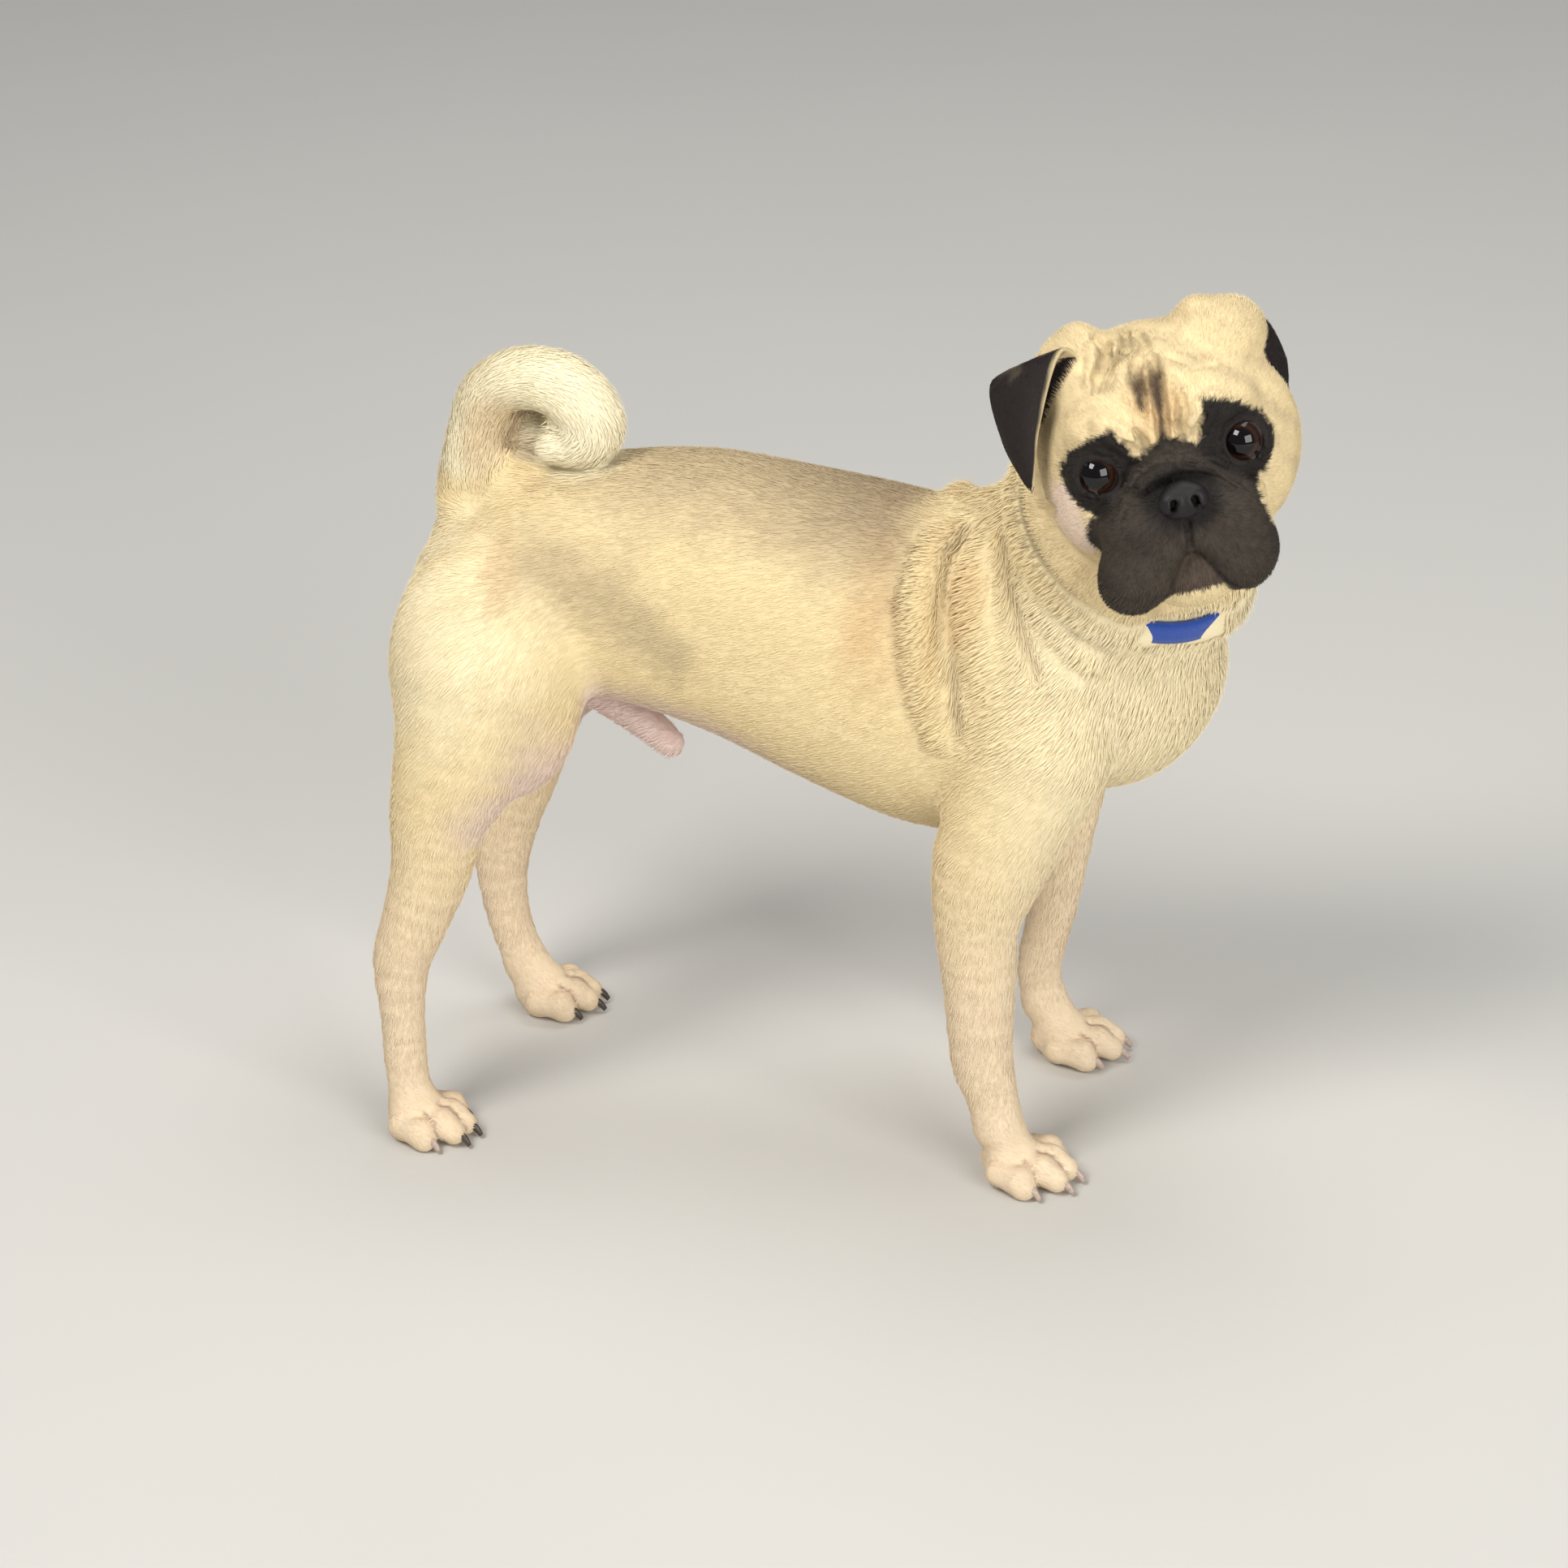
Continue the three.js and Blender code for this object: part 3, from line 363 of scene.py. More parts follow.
def paw_forms(paw, ankle):
    long = paw[3]
    heel = on_paw(paw, HEEL["along"] * long, 0, HEEL["up"], HEEL["radius"])
    instep = on_paw(paw, INSTEP["along"] * long, 0, INSTEP["up"], INSTEP["radius"])
    pads = [on_paw(paw, PAD["along"], side * PAD["aside"], PAD["up"], PAD["radius"]) for side in (-1, 1)]
    top = on_paw(paw, ANKLE["along"] * long, 0, ANKLE["up"], ANKLE["radius"])
    ankle = (*ankle[:3], ANKLE["radius"])
    return [rod(heel, instep), rod(*pads), rod(ankle, top)]


for leg in LEGS.values():
    joints = [(*joint[:3], joint[3] + LEG["grown"]) for joint in leg["joints"]]
    FLESH.append((7, [limb(joints, LEG["flat"])]))
    FLESH.append((5.0, paw_forms(leg["paw"], leg["joints"][-1])))
    FLESH.append((2.0, [form for joints, _ in toes_of(leg["paw"]) for form in chain(joints)]))

# Loose skin lies in rolls: one behind each shoulder, and two round the neck above it
ROLLS = [
    [
        (98, 4, 277, 3.5), (92, 12, 277, 5), (86, 20, 276, 6.5), (80, 36.5, 268, 8), (78.5, 47.5, 255.5, 8.5),
        (80, 52.5, 238, 8), (82.5, 54, 220, 7), (87, 54, 202, 5),
    ],
    [
        (108, 22, 282, 4), (101, 34, 274.5, 6), (99, 43.5, 263, 7.5), (102, 49.5, 249, 8),
        (107, 53.5, 235, 7), (113, 56, 221, 5),
    ],
    [
        (124, 36, 290, 4.5), (124, 45.5, 280, 6), (130, 51.5, 267, 6.5), (140, 55.5, 253, 5.5),
        (150, 56, 241, 4),
    ],
]
# The crease ahead of the first roll, and the next one
CREASES = [
    [
        (93.5, 20, 282.5, 1.4), (89.5, 33, 276.5, 2), (88.5, 44, 268.5, 2.2), (90.5, 52.5, 254, 2.2),
        (92.5, 55.5, 240, 2.2), (95, 57.5, 228, 2), (98, 58, 212, 1.4),
    ],
    [
        (110, 36, 288, 1.4), (112, 46, 280, 2), (117, 53.5, 266, 2), (123, 58.5, 254, 1.8),
        (129, 61.5, 240, 1.4),
    ],
]
# How much painted shade, partly darker hair, darkens the coat in each crease
CREASE_SHADE_SHARES = (0.5, 0.3)
for joints in ROLLS:
    for side in (1, -1):
        FLESH.append((7, [limb(mirrored(joints, side))]))

# Tail, joint by joint from its root, over the back and into its own curl
TAIL = [
    (-121, 0, 252, 15), (-124, 0, 272, 13.5), (-119.5, 0, 297, 13), (-111.5, -1, 319, 13.5),
    (-97, -2, 327.5, 14.3), (-80.5, -3, 326, 15), (-70, -4, 317, 15.5), (-67, -5, 307.5, 15),
    (-73.5, -7, 302, 11.5), (-81, -8, 300.5, 9),
]
# The end of the tail, tucked behind the curl
TAIL_TIP = [(-68, 0, 305, 13), (-76, 6, 301.5, 12.5), (-89, 10, 299, 13), (-103, 11, 299.5, 12)]
# Root of the tail, its bed on the rump, and the withers between neck and back
FLESH.append((8, [limb(TAIL[:3]), ball((-104, 0, 280), (20, 16, 15)), ball((110, 4, 277), (22, 24, 12))]))
SHEATH = [(-71, 0, 186, 9), (-53, 0, 175, 9), (-40, 0, 164, 7.5)]
FLESH.append((5, [limb(SHEATH)]))

# Head, in its own frame. Forms that lie on both sides are written once.
ROLL = [(-4, 30, -20, 3.2), (1, 24, -12, 3.6), (5, 15, -4, 3.8), (6.6, 5, -0.2, 3.9)]


def both(centre, half):
    return [ball((centre[0], side * centre[1], centre[2]), half) for side in (1, -1)]


HEAD = [
    # skull, the corners that carry the ears, cheeks, brows and throat
    (9, [
        ball((-43, 0, 4), (47, 49, 41.5)),
        *both((-42, 30, 32), (18, 15, 15)),
        *both((-42, 24, 37), (14, 10, 14.5)),
        *both((-30, 28, -12), (26, 21.5, 29)),
        *both((-11, 22, 16), (12.5, 15, 10)),
        ball((-36, 0, -36), (30, 30, 24)),
    ]),
    # muzzle: bridge, two pads and the flews that hang from them
    (5, [
        ball((-7, 0, -18), (18, 27, 16)),
        *both((-2, 16, -27), (15, 18, 17)),
        *both((-3, 22, -40), (14, 13, 14)),
    ]),
    # chin
    (1.5, [ball((-8, 0, -47), (16.5, 20, 15))]),
    # the roll of skin over the nose
    (2.5, chain(ROLL + mirrored(ROLL, -1)[::-1])),
    # bed of the nose
    (1.5, [ball((10, 0, -12.5), (6.5, 8.5, 6.6))]),
    # lids
    (3, both((EYE["ahead"], EYE["aside"], 0), (12.8, 13, 12.6))),
]
SKULL = (-30, 0, 0)
HEAD_REACH = 120

body = fold(FLESH)
TAIL_LINE = smooth_curve(TAIL, 40).tolist()
# Where on that line the free tail, its pale coat and the lie of its coat begin
TAIL_FROM = {"arch": 4, "pale": 8, "lie": 3}
tail_arch = fold([(LIMB["melt"], chain(TAIL_LINE[TAIL_FROM["arch"] :]))])
tail_tip = fold([(LIMB["melt"], [limb(TAIL_TIP)])])


def plain_flesh(points):
    """The solids' flesh, before the face is worked."""
    d = body(points)
    head = into_head(points)
    near = np.flatnonzero(np.linalg.norm(head - SKULL, axis=1) < HEAD_REACH)
    d[near] = worked(d[near], head[near], HEAD)
    return d


# Depth of the coat over the skin
DEPTH = {"trunk": 1.8, "head": 0.7, "foot": 0.8, "tail": 2.0}


# How far from its middle the head's coat ends and the neck's begins, and the same for feet and legs
HEAD_PART = {"middle": (-30, 0, -4), "stretch": (1, 1, 0.9), "ends": (56, 74)}
FOOT_ENDS = (38, 66)


def head_share(points):
    """1 on the head, 0 on the neck and beyond."""
    off = (into_head(points) - HEAD_PART["middle"]) * HEAD_PART["stretch"]
    return 1 - smooth(*HEAD_PART["ends"], np.linalg.norm(off, axis=1))


def foot_share(points):
    return 1 - smooth(*FOOT_ENDS, points[:, 2])


def coat_depth(points):
    depth = np.full(len(points), DEPTH["trunk"])
    for share, key in ((head_share(points), "head"), (foot_share(points), "foot")):
        depth += share * (DEPTH[key] - depth)
    return depth


# What is worked into the face, in the head's frame

# Fullness of the lips and flews
FULL = [
    (4, [ball((3, -0.5, -27.0), (9.5, 11, 9.0))]),
    (4, [ball((0, -24, -42.5), (12.5, 14, 14)), ball((0, 18.5, -43), (12, 12.5, 13.5))]),
    (3, [rod((7, -9, -35, 5), (5, -15, -45, 6)), rod((7, 8, -35, 5), (5, 13.5, -45, 6))]),
    (8, [ball((-37, 33.5, -4), (21, 20.5, 27)), ball((-45, 37.8, 33.5), (14, 11.5, 12.5))]),
]


def full_face(head):
    return worked(plain_flesh(on_head(head)), head, FULL)


# Openings between the lids: middle, half sizes and tilt in degrees, seen from straight ahead
LIDS = {
    -1: {"middle": (-29.0, -0.4), "half": (7.5, 6.3), "tilt": -17.0},
    1: {"middle": (28.8, 0.6), "half": (7.3, 7.3), "tilt": 6.0},
}
RIM = {"radius": 1.0, "out": 0.75, "rise": 0.55, "steps": 22}
BEHIND_LIDS = 2.5
# Widths over which the parts of the face melt in or soften
SOFT = {"rim": 1.4, "mole": 2.0, "lids": 0.9, "flews": 2.0, "mouth": 1.4, "lips": 1.2}

# Grooves of the face: width over which they soften, depth, how much darker the coat is in them (painted
# shade, partly darker hair), and joints on the face
GROOVES = [
    # forehead
    (2.2, 2.7, 0.75, [
        (-32.5, -17, 46.1, 1.3), (-30, -14.2, 43.3, 1.7), (-23.8, -15.7, 39.7, 1.8),
        (-18.7, -20.8, 34.9, 1.5), (-14.8, -23, 29.5, 1),
    ]),
    (2.2, 2.8, 0.75, [
        (-40.1, -5.4, 45.2, 1.2), (-26.1, -6.4, 42.3, 1.7), (-20, -10.8, 39, 1.8),
        (-16.1, -15.8, 35.3, 1.6), (-12.6, -19.6, 31, 1.2),
    ]),
    (2.2, 2.3, 0.6, [
        (-33.6, -1, 44.6, 1.1), (-22.8, 0.4, 41.5, 1.5), (-17.6, -3.6, 38.8, 1.5),
        (-14.2, -6.4, 36.4, 1.1),
    ]),
    (2.6, 2.2, 0.3, [
        (-16.7, -4.3, 38.2, 1.1), (-9.8, -7.2, 32.8, 1.9), (-4.3, -6.4, 27.1, 2),
        (-0.9, -7.3, 21.4, 1.3),
    ]),
    (2.6, 3.0, 0.4, [
        (-17, 1.9, 38.6, 1.2), (-6.9, 1, 30.6, 2), (-3.1, 0, 25.9, 2), (-0.1, -0.4, 21, 2),
        (2.6, -1.2, 14.1, 2), (3.7, -1.9, 8.7, 1.6),
    ]),
    (2.2, 2.0, 0.3, [(-2, 8.6, 24, 1), (0.8, 7.4, 19, 1.6), (2.6, 5.2, 12.6, 1.7), (3.4, 5.7, 7.4, 1.3)]),
    (2.0, 2.0, 0.4, [(2.2, -11.6, 15, 1), (2.6, -10.2, 10.5, 1.5), (3, -9.2, 6.8, 1.1)]),
    (2.4, 0.9, 0.15, [(-16.2, 8.4, 37.2, 0.9), (-12.3, 17, 32.2, 1.6), (-14.7, 23.7, 31, 1)]),
    # under the brows, where the coat meets the mask
    (1.8, 1.5, 0.5, [
        (2.2, -20.5, 16, 0.9), (2.2, -15, 9.8, 1.4), (2.8, -10.5, 5.6, 1.5), (3.4, -6, 6.4, 1.4),
        (3.6, -2.6, 8.6, 1.1),
    ]),
    (1.8, 1.3, 0.5, [(2.2, 15.5, 16, 0.9), (2.6, 11, 9.5, 1.4), (3.4, 7, 6.3, 1.4), (3.6, 2.4, 7.6, 1.1)]),
    # over and under the fold above the nose
    (1.4, 1.5, 0, [
        (3, -28.4, -15.5, 1), (2.8, -22.6, -5.6, 1.3), (1.2, -16, 1.4, 1.3), (3.2, -8.5, 4.9, 1.2),
        (3.8, 0, 6.1, 1.2),
    ]),
    (1.4, 1.5, 0, [
        (3.8, 0, 6.1, 1.2), (7.2, 6.5, 4, 1.2), (8.8, 12, -0.8, 1.3), (7.4, 18.4, -7.2, 1.3),
        (4.8, 25.9, -14, 1.2), (5.8, 30, -21, 0.9),
    ]),
    (1.2, 1.2, 0, [
        (7, -24.5, -16, 0.8), (6.8, -19.6, -8.2, 1.1), (9, -13.4, -1.6, 1.1), (10.4, -6.5, 1.4, 1),
        (10, -2, 2, 0.7),
    ]),
    (1.2, 1.2, 0, [(10.6, 3, 1.4, 0.7), (10, 8.6, -2, 1), (7.4, 14, -7.6, 1.1), (7.4, 20.5, -14, 0.8)]),
    # over and under the lids
    (1.3, 1.2, 0, [
        (-1.2, -38.5, 3, 0.6), (-1, -34.8, 7.7, 1), (-0, -29.5, 9.4, 1), (1.2, -23.5, 6.6, 0.8),
        (1.2, -20.3, 1.5, 0.5),
    ]),
    (
        1.3, 1.1, 0,
        [(-2.4, -37.5, -6.5, 0.6), (-1.8, -32.5, -9.8, 1), (3.4, -26.5, -9.7, 1), (5.6, -21.5, -6.5, 0.6)],
    ),
    (1.3, 1.2, 0, [
        (1, 20.2, 3.5, 0.5), (0.8, 23.5, 8.8, 0.9), (-0.4, 29.5, 11, 1), (-1.8, 35.2, 8.2, 0.8),
        (-0.6, 38, 2.6, 0.5),
    ]),
    (
        1.3, 1.1, 0,
        [(5.4, 21.5, -6, 0.6), (3.4, 26.5, -9.6, 0.9), (-1.2, 32, -9.4, 0.9), (-0.2, 36.6, -5, 0.6)],
    ),
    # under the eyes, down towards the cheeks
    (1.6, 1.1, 0, [(6.2, -21, -9, 0.7), (4.4, -26.5, -13.4, 1.1), (-4.4, -33, -16, 0.8)]),
    (1.6, 1, 0, [(6.6, 20, -8.5, 0.7), (5.2, 25, -11.5, 1), (-4, 32, -13.5, 0.7)]),
    # from the nose down to the lips
    (1.6, 1.3, 0, [(11.8, 0, -22, 0.9), (12.6, -0.4, -27, 1), (10.2, -0.8, -33, 1.1)]),
    # down the right cheek
    (3, 1.6, 0.35, [(-21.4, -48.2, -14.5, 1.2), (-33, -52, -17.5, 1.5), (-42, -53.5, -20, 0.9)]),
]
# Rolls of the face: width over which they melt in, how far they stand out, and joints on the face
RIDGES = [
    (2.6, 1.9, [(-31, -11.5, 45, 1.8), (-24, -11, 41.6, 2.5), (-19.5, -15, 38, 2.6), (-14.6, -19.4, 33, 2)]),
    (2.6, 1.7, [(-30, -2.6, 44, 1.7), (-20.5, -5.6, 40.4, 2.4), (-15, -10.6, 36, 2.4), (-9.8, -14, 30, 1.6)]),
    (2.6, 1.7, [(-30, -20.5, 43, 1.7), (-24, -20.5, 39.4, 2.4), (-18.5, -24.4, 34, 1.8)]),
    (2.8, 1.9, [(-6.6, -3.6, 30, 2.2), (-0.8, -3.6, 22, 2.8), (2.4, -4.8, 14, 3), (3.2, -5.4, 9, 2.4)]),
    (2.6, 1.7, [(-2.6, 3.6, 25, 2), (1.4, 2.8, 17, 2.4), (3.4, 2.2, 10, 2)]),
    (3.6, 2.2, [(0.2, -25, 20.5, 3), (2.4, -19, 15.5, 4), (2.4, -14.5, 10.8, 4), (2.6, -12.2, 8.6, 2.8)]),
    (3.6, 1.7, [(0.2, 21, 21.5, 2.8), (2, 15.5, 17, 3.8), (2.6, 10.5, 11.6, 3.2), (2.8, 8.6, 9.4, 2.4)]),
    (1.5, 1.2, [
        (4.4, -26.6, -15, 1.3), (6, -21, -6.4, 1.7), (7.2, -14.8, 0, 1.7), (8.2, -7.6, 3.2, 1.7),
        (4.2, -1, 4.2, 1.6),
    ]),
    (1.5, 1.1, [
        (4.2, -1, 4.2, 1.6), (9.8, 5, 2.9, 1.6), (9.4, 10.4, -1.4, 1.6), (7.8, 16, -7.4, 1.6),
        (6.2, 23.5, -14.4, 1.2),
    ]),
]
MOUTH = [
    (5, -20, -57, 1.4), (8.6, -12, -49.5, 1.5), (10.5, -5.6, -41.5, 1.5), (12.2, -1, -36.4, 1.3),
    (10.5, 3.8, -41.5, 1.5), (8.6, 9, -48.5, 1.5), (5, 17, -56.5, 1.4),
]
LIP_LINE = [(9.2, -12, -51.5, 1.0), (9.4, -6, -50.4, 1.2), (9.4, 2, -49.8, 1.2), (9.2, 8.6, -49.3, 1.0)]
BETWEEN_FLEWS = ball((15.5, -1.5, -43.5), (9, 9.5, 7.5))
MOLE = {"at": (-21.0, -48.6, -14.6), "half": (2.4, 1.9, 2.2), "dark": (2.6, 2.2, 2.4)}
LAID_ROUNDS = 8


def opening_away(side, grow=0.0):
    """The gap between the lids: an upright oval that runs straight ahead out of the eyeball."""
    lid = LIDS[side]
    c, s = math.cos(math.radians(lid["tilt"])), math.sin(math.radians(lid["tilt"]))
    a, b = (half + grow for half in lid["half"])
    behind = EYE["ahead"] + BEHIND_LIDS

    def away(p):
        aside, up = p[:, 1] - lid["middle"][0], p[:, 2] - lid["middle"][1]
        oval = (np.hypot((aside * c + up * s) / a, (up * c - aside * s) / b) - 1) * min(a, b)
        return np.maximum(oval, behind - p[:, 0])

    return away


def lid_rim(side):
    """The wet edge of the lids, a rod that runs round the opening and lies on the eyeball."""
    lid = LIDS[side]
    c, s = math.cos(math.radians(lid["tilt"])), math.sin(math.radians(lid["tilt"]))
    joints = []
    for k in range(RIM["steps"] + 1):
        turn = 2 * math.pi * k / RIM["steps"]
        u = (lid["half"][0] + RIM["out"]) * math.cos(turn)
        v = (lid["half"][1] + RIM["out"]) * math.sin(turn)
        aside, up = lid["middle"][0] + u * c - v * s, lid["middle"][1] + u * s + v * c
        off = (aside - side * EYE["aside"]) ** 2 + (up - EYE["up"]) ** 2
        ahead = EYE["ahead"] + math.sqrt((EYE["radius"] + RIM["rise"]) ** 2 - off)
        joints.append((ahead, aside, up, RIM["radius"]))
    return joints


def laid(joints, rise):
    """Joints drawn onto the face's skin, then moved so that a rod through them stands out by rise, or,
    where rise is less than 0, reaches that far in. Also the ways out of the skin."""
    joints = np.array(joints, float)
    spots, radii = joints[:, :3], joints[:, 3]
    for _ in range(LAID_ROUNDS):
        spots = spots - (full_face(spots) + DEPTH["head"])[:, None] * unit(slope(full_face, spots))
    out = unit(slope(full_face, spots))
    off = rise - radii if rise > 0 else radii + rise
    return [(*spot, radius) for spot, radius in zip(spots + off[:, None] * out, radii)], out


def ridge(joints, rise):
    return chain(laid(joints, rise)[0])


def groove(joints, depth):
    """A groove, open outwards, so that it never tunnels under a ridge."""
    bed, out = laid(joints, -depth)
    above = [(*(np.array(j[:3]) + 1.5 * j[3] * way), 1.25 * j[3]) for j, way in zip(bed, out)]
    return chain(bed) + chain(above)


def face_work():
    """The rolls and folds of the face, its lids, mouth and eye openings, in the head's frame."""
    added = [(width, ridge(joints, rise)) for width, rise, joints in RIDGES]
    lines = []
    # lines along the grooves, where painted shade darkens the coat
    for _, depth, share, joints in GROOVES:
        bed, _ = laid(joints, -0.5 * depth)
        lines.append((share, [(*j[:3], 0.9 * j[3] + 0.6 * depth) for j in bed]))
    added += [(SOFT["rim"], chain(lid_rim(side))) for side in LIDS]
    added.append((SOFT["mole"], [ball(MOLE["at"], MOLE["half"])]))
    carved = [(width, groove(joints, depth)) for width, depth, _, joints in GROOVES]
    for side in LIDS:
        middle = (2, *LIDS[side]["middle"])
        carved.append((SOFT["lids"], [Form(opening_away(side), middle, 14)]))
    carved.append((SOFT["flews"], [BETWEEN_FLEWS]))
    carved += [(SOFT["mouth"], chain(MOUTH)), (SOFT["lips"], chain(LIP_LINE))]
    return added, carved, lines


ADDED, CARVED, GROOVE_SHADE_LINES = face_work()
FLOOR_CLEAR = 0.5
ARCH_MELT, TIP_MELT = 2.0, 0.8

# The collar, and the folds of the neck over it

COLLAR = {
    "at": (159.7, -23.3, 284.2), "axis": (0.57, -0.42, 0.72), "wide": 10.0, "thick": 2.4, "sunk": 0.9,
    "steps": 240, "reach": 80.0, "halvings": 20,
}
# Two folds of the neck close over the collar, all but at the throat: where each lies along the collar's
# axis, how much further off at the throat, its radius, how far it stands out of the neck, and where it opens
FOLDS = ((-3.0, -8.0, 9.6, 4.4, -6.0), (10.0, 0.0, 7.6, 4.6, 14.0))
FOLD_MELT = 4.0
# The crease between them, darkened with painted shade of the folds that is partly dark hair, and the
# throat, in degrees round the collar
CREASE = {"along": 4.0, "wide": 2.4, "share": 0.62, "deep": (56, 62)}
NECK_ROUND = 60
THROAT = {"turn": 86.0, "open": 13.0, "shut": 37.0, "level": 30.0, "radius": 1.5, "sunk": 2.5, "steps": 48}


def collar_axes():
    axis = unit(np.array(COLLAR["axis"]))
    aside = unit(np.cross(axis, (0, 0, 1)))
    return np.array([axis, aside, np.cross(axis, aside)])


def into_collar(points):
    """How far points lie along the collar's axis and off it, and how many degrees round from the throat."""
    along, aside, up = ((points - COLLAR["at"]) @ collar_axes().T).T
    turn = np.degrees(np.arctan2(up, aside))
    away = np.abs((turn - THROAT["turn"] + 180) % 360 - 180)
    return along, np.hypot(aside, up), away


def collar_ring(along, steps=COLLAR["steps"]):
    """Where the neck's surface lies round the collar's middle line, a way along its axis."""
    axis, aside, up = collar_axes()
    turns = np.linspace(0, 2 * math.pi, steps, endpoint=False)
    out = np.outer(np.cos(turns), aside) + np.outer(np.sin(turns), up)
    start = np.array(COLLAR["at"]) + axis * along
    near, far = np.zeros(len(out)), np.full(len(out), COLLAR["reach"])
    for _ in range(COLLAR["halvings"]):
        middle = (near + far) / 2
        inside = body(start + out * middle[:, None]) < 0
        near, far = np.where(inside, middle, near), np.where(inside, far, middle)
    return start, out, near


def neck_folds():
    """The two folds, each a closed ring that is thin and sunk at the throat."""
    folds = []
    for along, off, radius, proud, opening in FOLDS:
        start, out, near = collar_ring(along, THROAT["steps"])
        away = into_collar(start + out * near[:, None])[2]
        share = smooth(opening, THROAT["shut"], away)
        radii = THROAT["radius"] + (radius - THROAT["radius"]) * share
        rise = proud * share - THROAT["sunk"] * (1 - share)
        middles = start + out * (near + rise - radii)[:, None]
        middles = middles + collar_axes()[0] * (off * (1 - np.minimum(away / THROAT["level"], 1)))[:, None]
        joints = [(*m, r) for m, r in zip(middles, radii)]
        folds.append((FOLD_MELT, chain(joints + joints[:1])))
    return folds


NECK_FOLDS = neck_folds()


def skin(points):
    """The skin: the flesh less the coat's depth, with the face worked, over the floor."""
    d = plain_flesh(points) + coat_depth(points)
    d = worked(d, points, NECK_FOLDS)
    d = melt(d, tail_arch(points) + DEPTH["tail"], ARCH_MELT)
    d = melt(d, tail_tip(points) + DEPTH["tail"], TIP_MELT)
    head = into_head(points)
    near = np.flatnonzero(np.linalg.norm(head - SKULL, axis=1) < HEAD_REACH)
    face = worked(d[near], head[near], FULL)
    face = worked(face, head[near], ADDED)
    d[near] = worked(face, head[near], CARVED, carve)
    return np.maximum(d, FLOOR_CLEAR - points[:, 2])


# Surfaces

# A block of cells is worked out in full where its middle is within FAR of its own width of the surface
BLOCK = 4
FAR = 1.7
FILLED = -0.05
LEAST_SLOPE = 0.15


def lattice(*counts):
    """All spots of a grid with so many steps each way."""
    return np.stack(np.meshgrid(*[np.arange(c) for c in counts], indexing="ij"), -1).reshape(-1, len(counts))


def net(field, low, high, cell):
    """The surface of a form, over a grid: its points and its four-sided faces."""
    low = np.array(low, float)
    blocks = np.ceil((np.array(high) - low) / cell / BLOCK).astype(int) + 1
    spots = lattice(*blocks)
    middle = field(low + (spots * BLOCK + (BLOCK - 1) / 2) * cell)
    value = middle.reshape(blocks)
    for axis in range(3):
        value = np.repeat(value, BLOCK, axis)
    near = spots[np.abs(middle) < BLOCK * cell * FAR]
    fine = (near[:, None] * BLOCK + lattice(BLOCK, BLOCK, BLOCK)).reshape(-1, 3)
    value[tuple(fine.T)] = field(low + fine * cell)
    for edge in (0, -1):
        value[edge], value[:, edge], value[:, :, edge] = cell, cell, cell
    # where the surface would touch itself corner to corner, the corner is filled
    filled = True
    while filled:
        filled = False
        for a, b in ((0, 1), (1, 2), (2, 0)):
            view = np.moveaxis(value, (a, b), (0, 1))
            s = view < 0
            bad = (s[:-1, :-1] == s[1:, 1:]) & (s[1:, :-1] == s[:-1, 1:]) & (s[:-1, :-1] != s[1:, :-1])
            i, j, k = np.nonzero(bad)
            if len(i):
                view[i + s[i, j, k], j, k] = FILLED * cell
                filled = True
    inside = value < 0
    corners = lattice(2, 2, 2)
    size = np.array(value.shape) - 1
    parts = [inside[a : a + size[0], b : b + size[1], c : c + size[2]] for a, b, c in corners]
    count = sum(part.astype(np.int8) for part in parts)
    cells = np.argwhere((count > 0) & (count < 8))
    total, crossings = np.zeros((len(cells), 3)), np.zeros(len(cells))
    for corner in corners:
        for axis in range(3):
            if corner[axis]:
                continue
            here = value[tuple((cells + corner).T)]
            there = value[tuple((cells + corner + AXES[axis].astype(int)).T)]
            crosses = (here < 0) != (there < 0)
            t = np.where(crosses, here / np.where(crosses, here - there, 1), 0)
            total += np.where(crosses[:, None], corner + t[:, None] * AXES[axis], 0)
            crossings += crosses
    points = low + (cells + total / crossings[:, None]) * cell
    index = np.full(size, -1)
    index[tuple(cells.T)] = np.arange(len(cells))
    faces = []
    for axis in range(3):
        step = AXES[axis].astype(int)
        s, t = AXES[(axis + 1) % 3].astype(int), AXES[(axis + 2) % 3].astype(int)
        here = inside[: size[0], : size[1], : size[2]]
        there = inside[step[0] : size[0] + step[0], step[1] : size[1] + step[1], step[2] : size[2] + step[2]]
        at = np.argwhere(here != there)
        ring = np.stack([index[tuple((at - k).T)] for k in (s + t, t, 0 * s, s)], 1)
        outwards = inside[tuple(at.T)]
        ring[~outwards] = ring[~outwards][:, ::-1]
        faces.append(ring)
    return points, np.concatenate(faces)


def drawn(field, points, rounds=2, most=1.2):
    """Points drawn onto the surface of a form."""
    for _ in range(rounds):
        g = slope(field, points)
        move = field(points) / np.maximum((g * g).sum(1), LEAST_SLOPE)
        points = points - np.clip(move, -most, most)[:, None] * g
    return points


def eased(field, points, faces, rounds):
    """Points spread evenly over the surface that they lie on."""
    a = faces.ravel()
    b = np.roll(faces, -1, 1).ravel()
    ends = np.concatenate([a, b])
    others = np.concatenate([b, a])
    weight = np.bincount(ends, minlength=len(points))
    for _ in range(rounds):
        total = np.stack([np.bincount(ends, points[others, k], len(points)) for k in range(3)], 1)
        normal = unit(slope(field, points))
        shift = total / weight[:, None] - points
        shift -= (shift * normal).sum(1)[:, None] * normal
        points = drawn(field, points + 0.5 * shift, 1)
    return points


# Meshes and materials

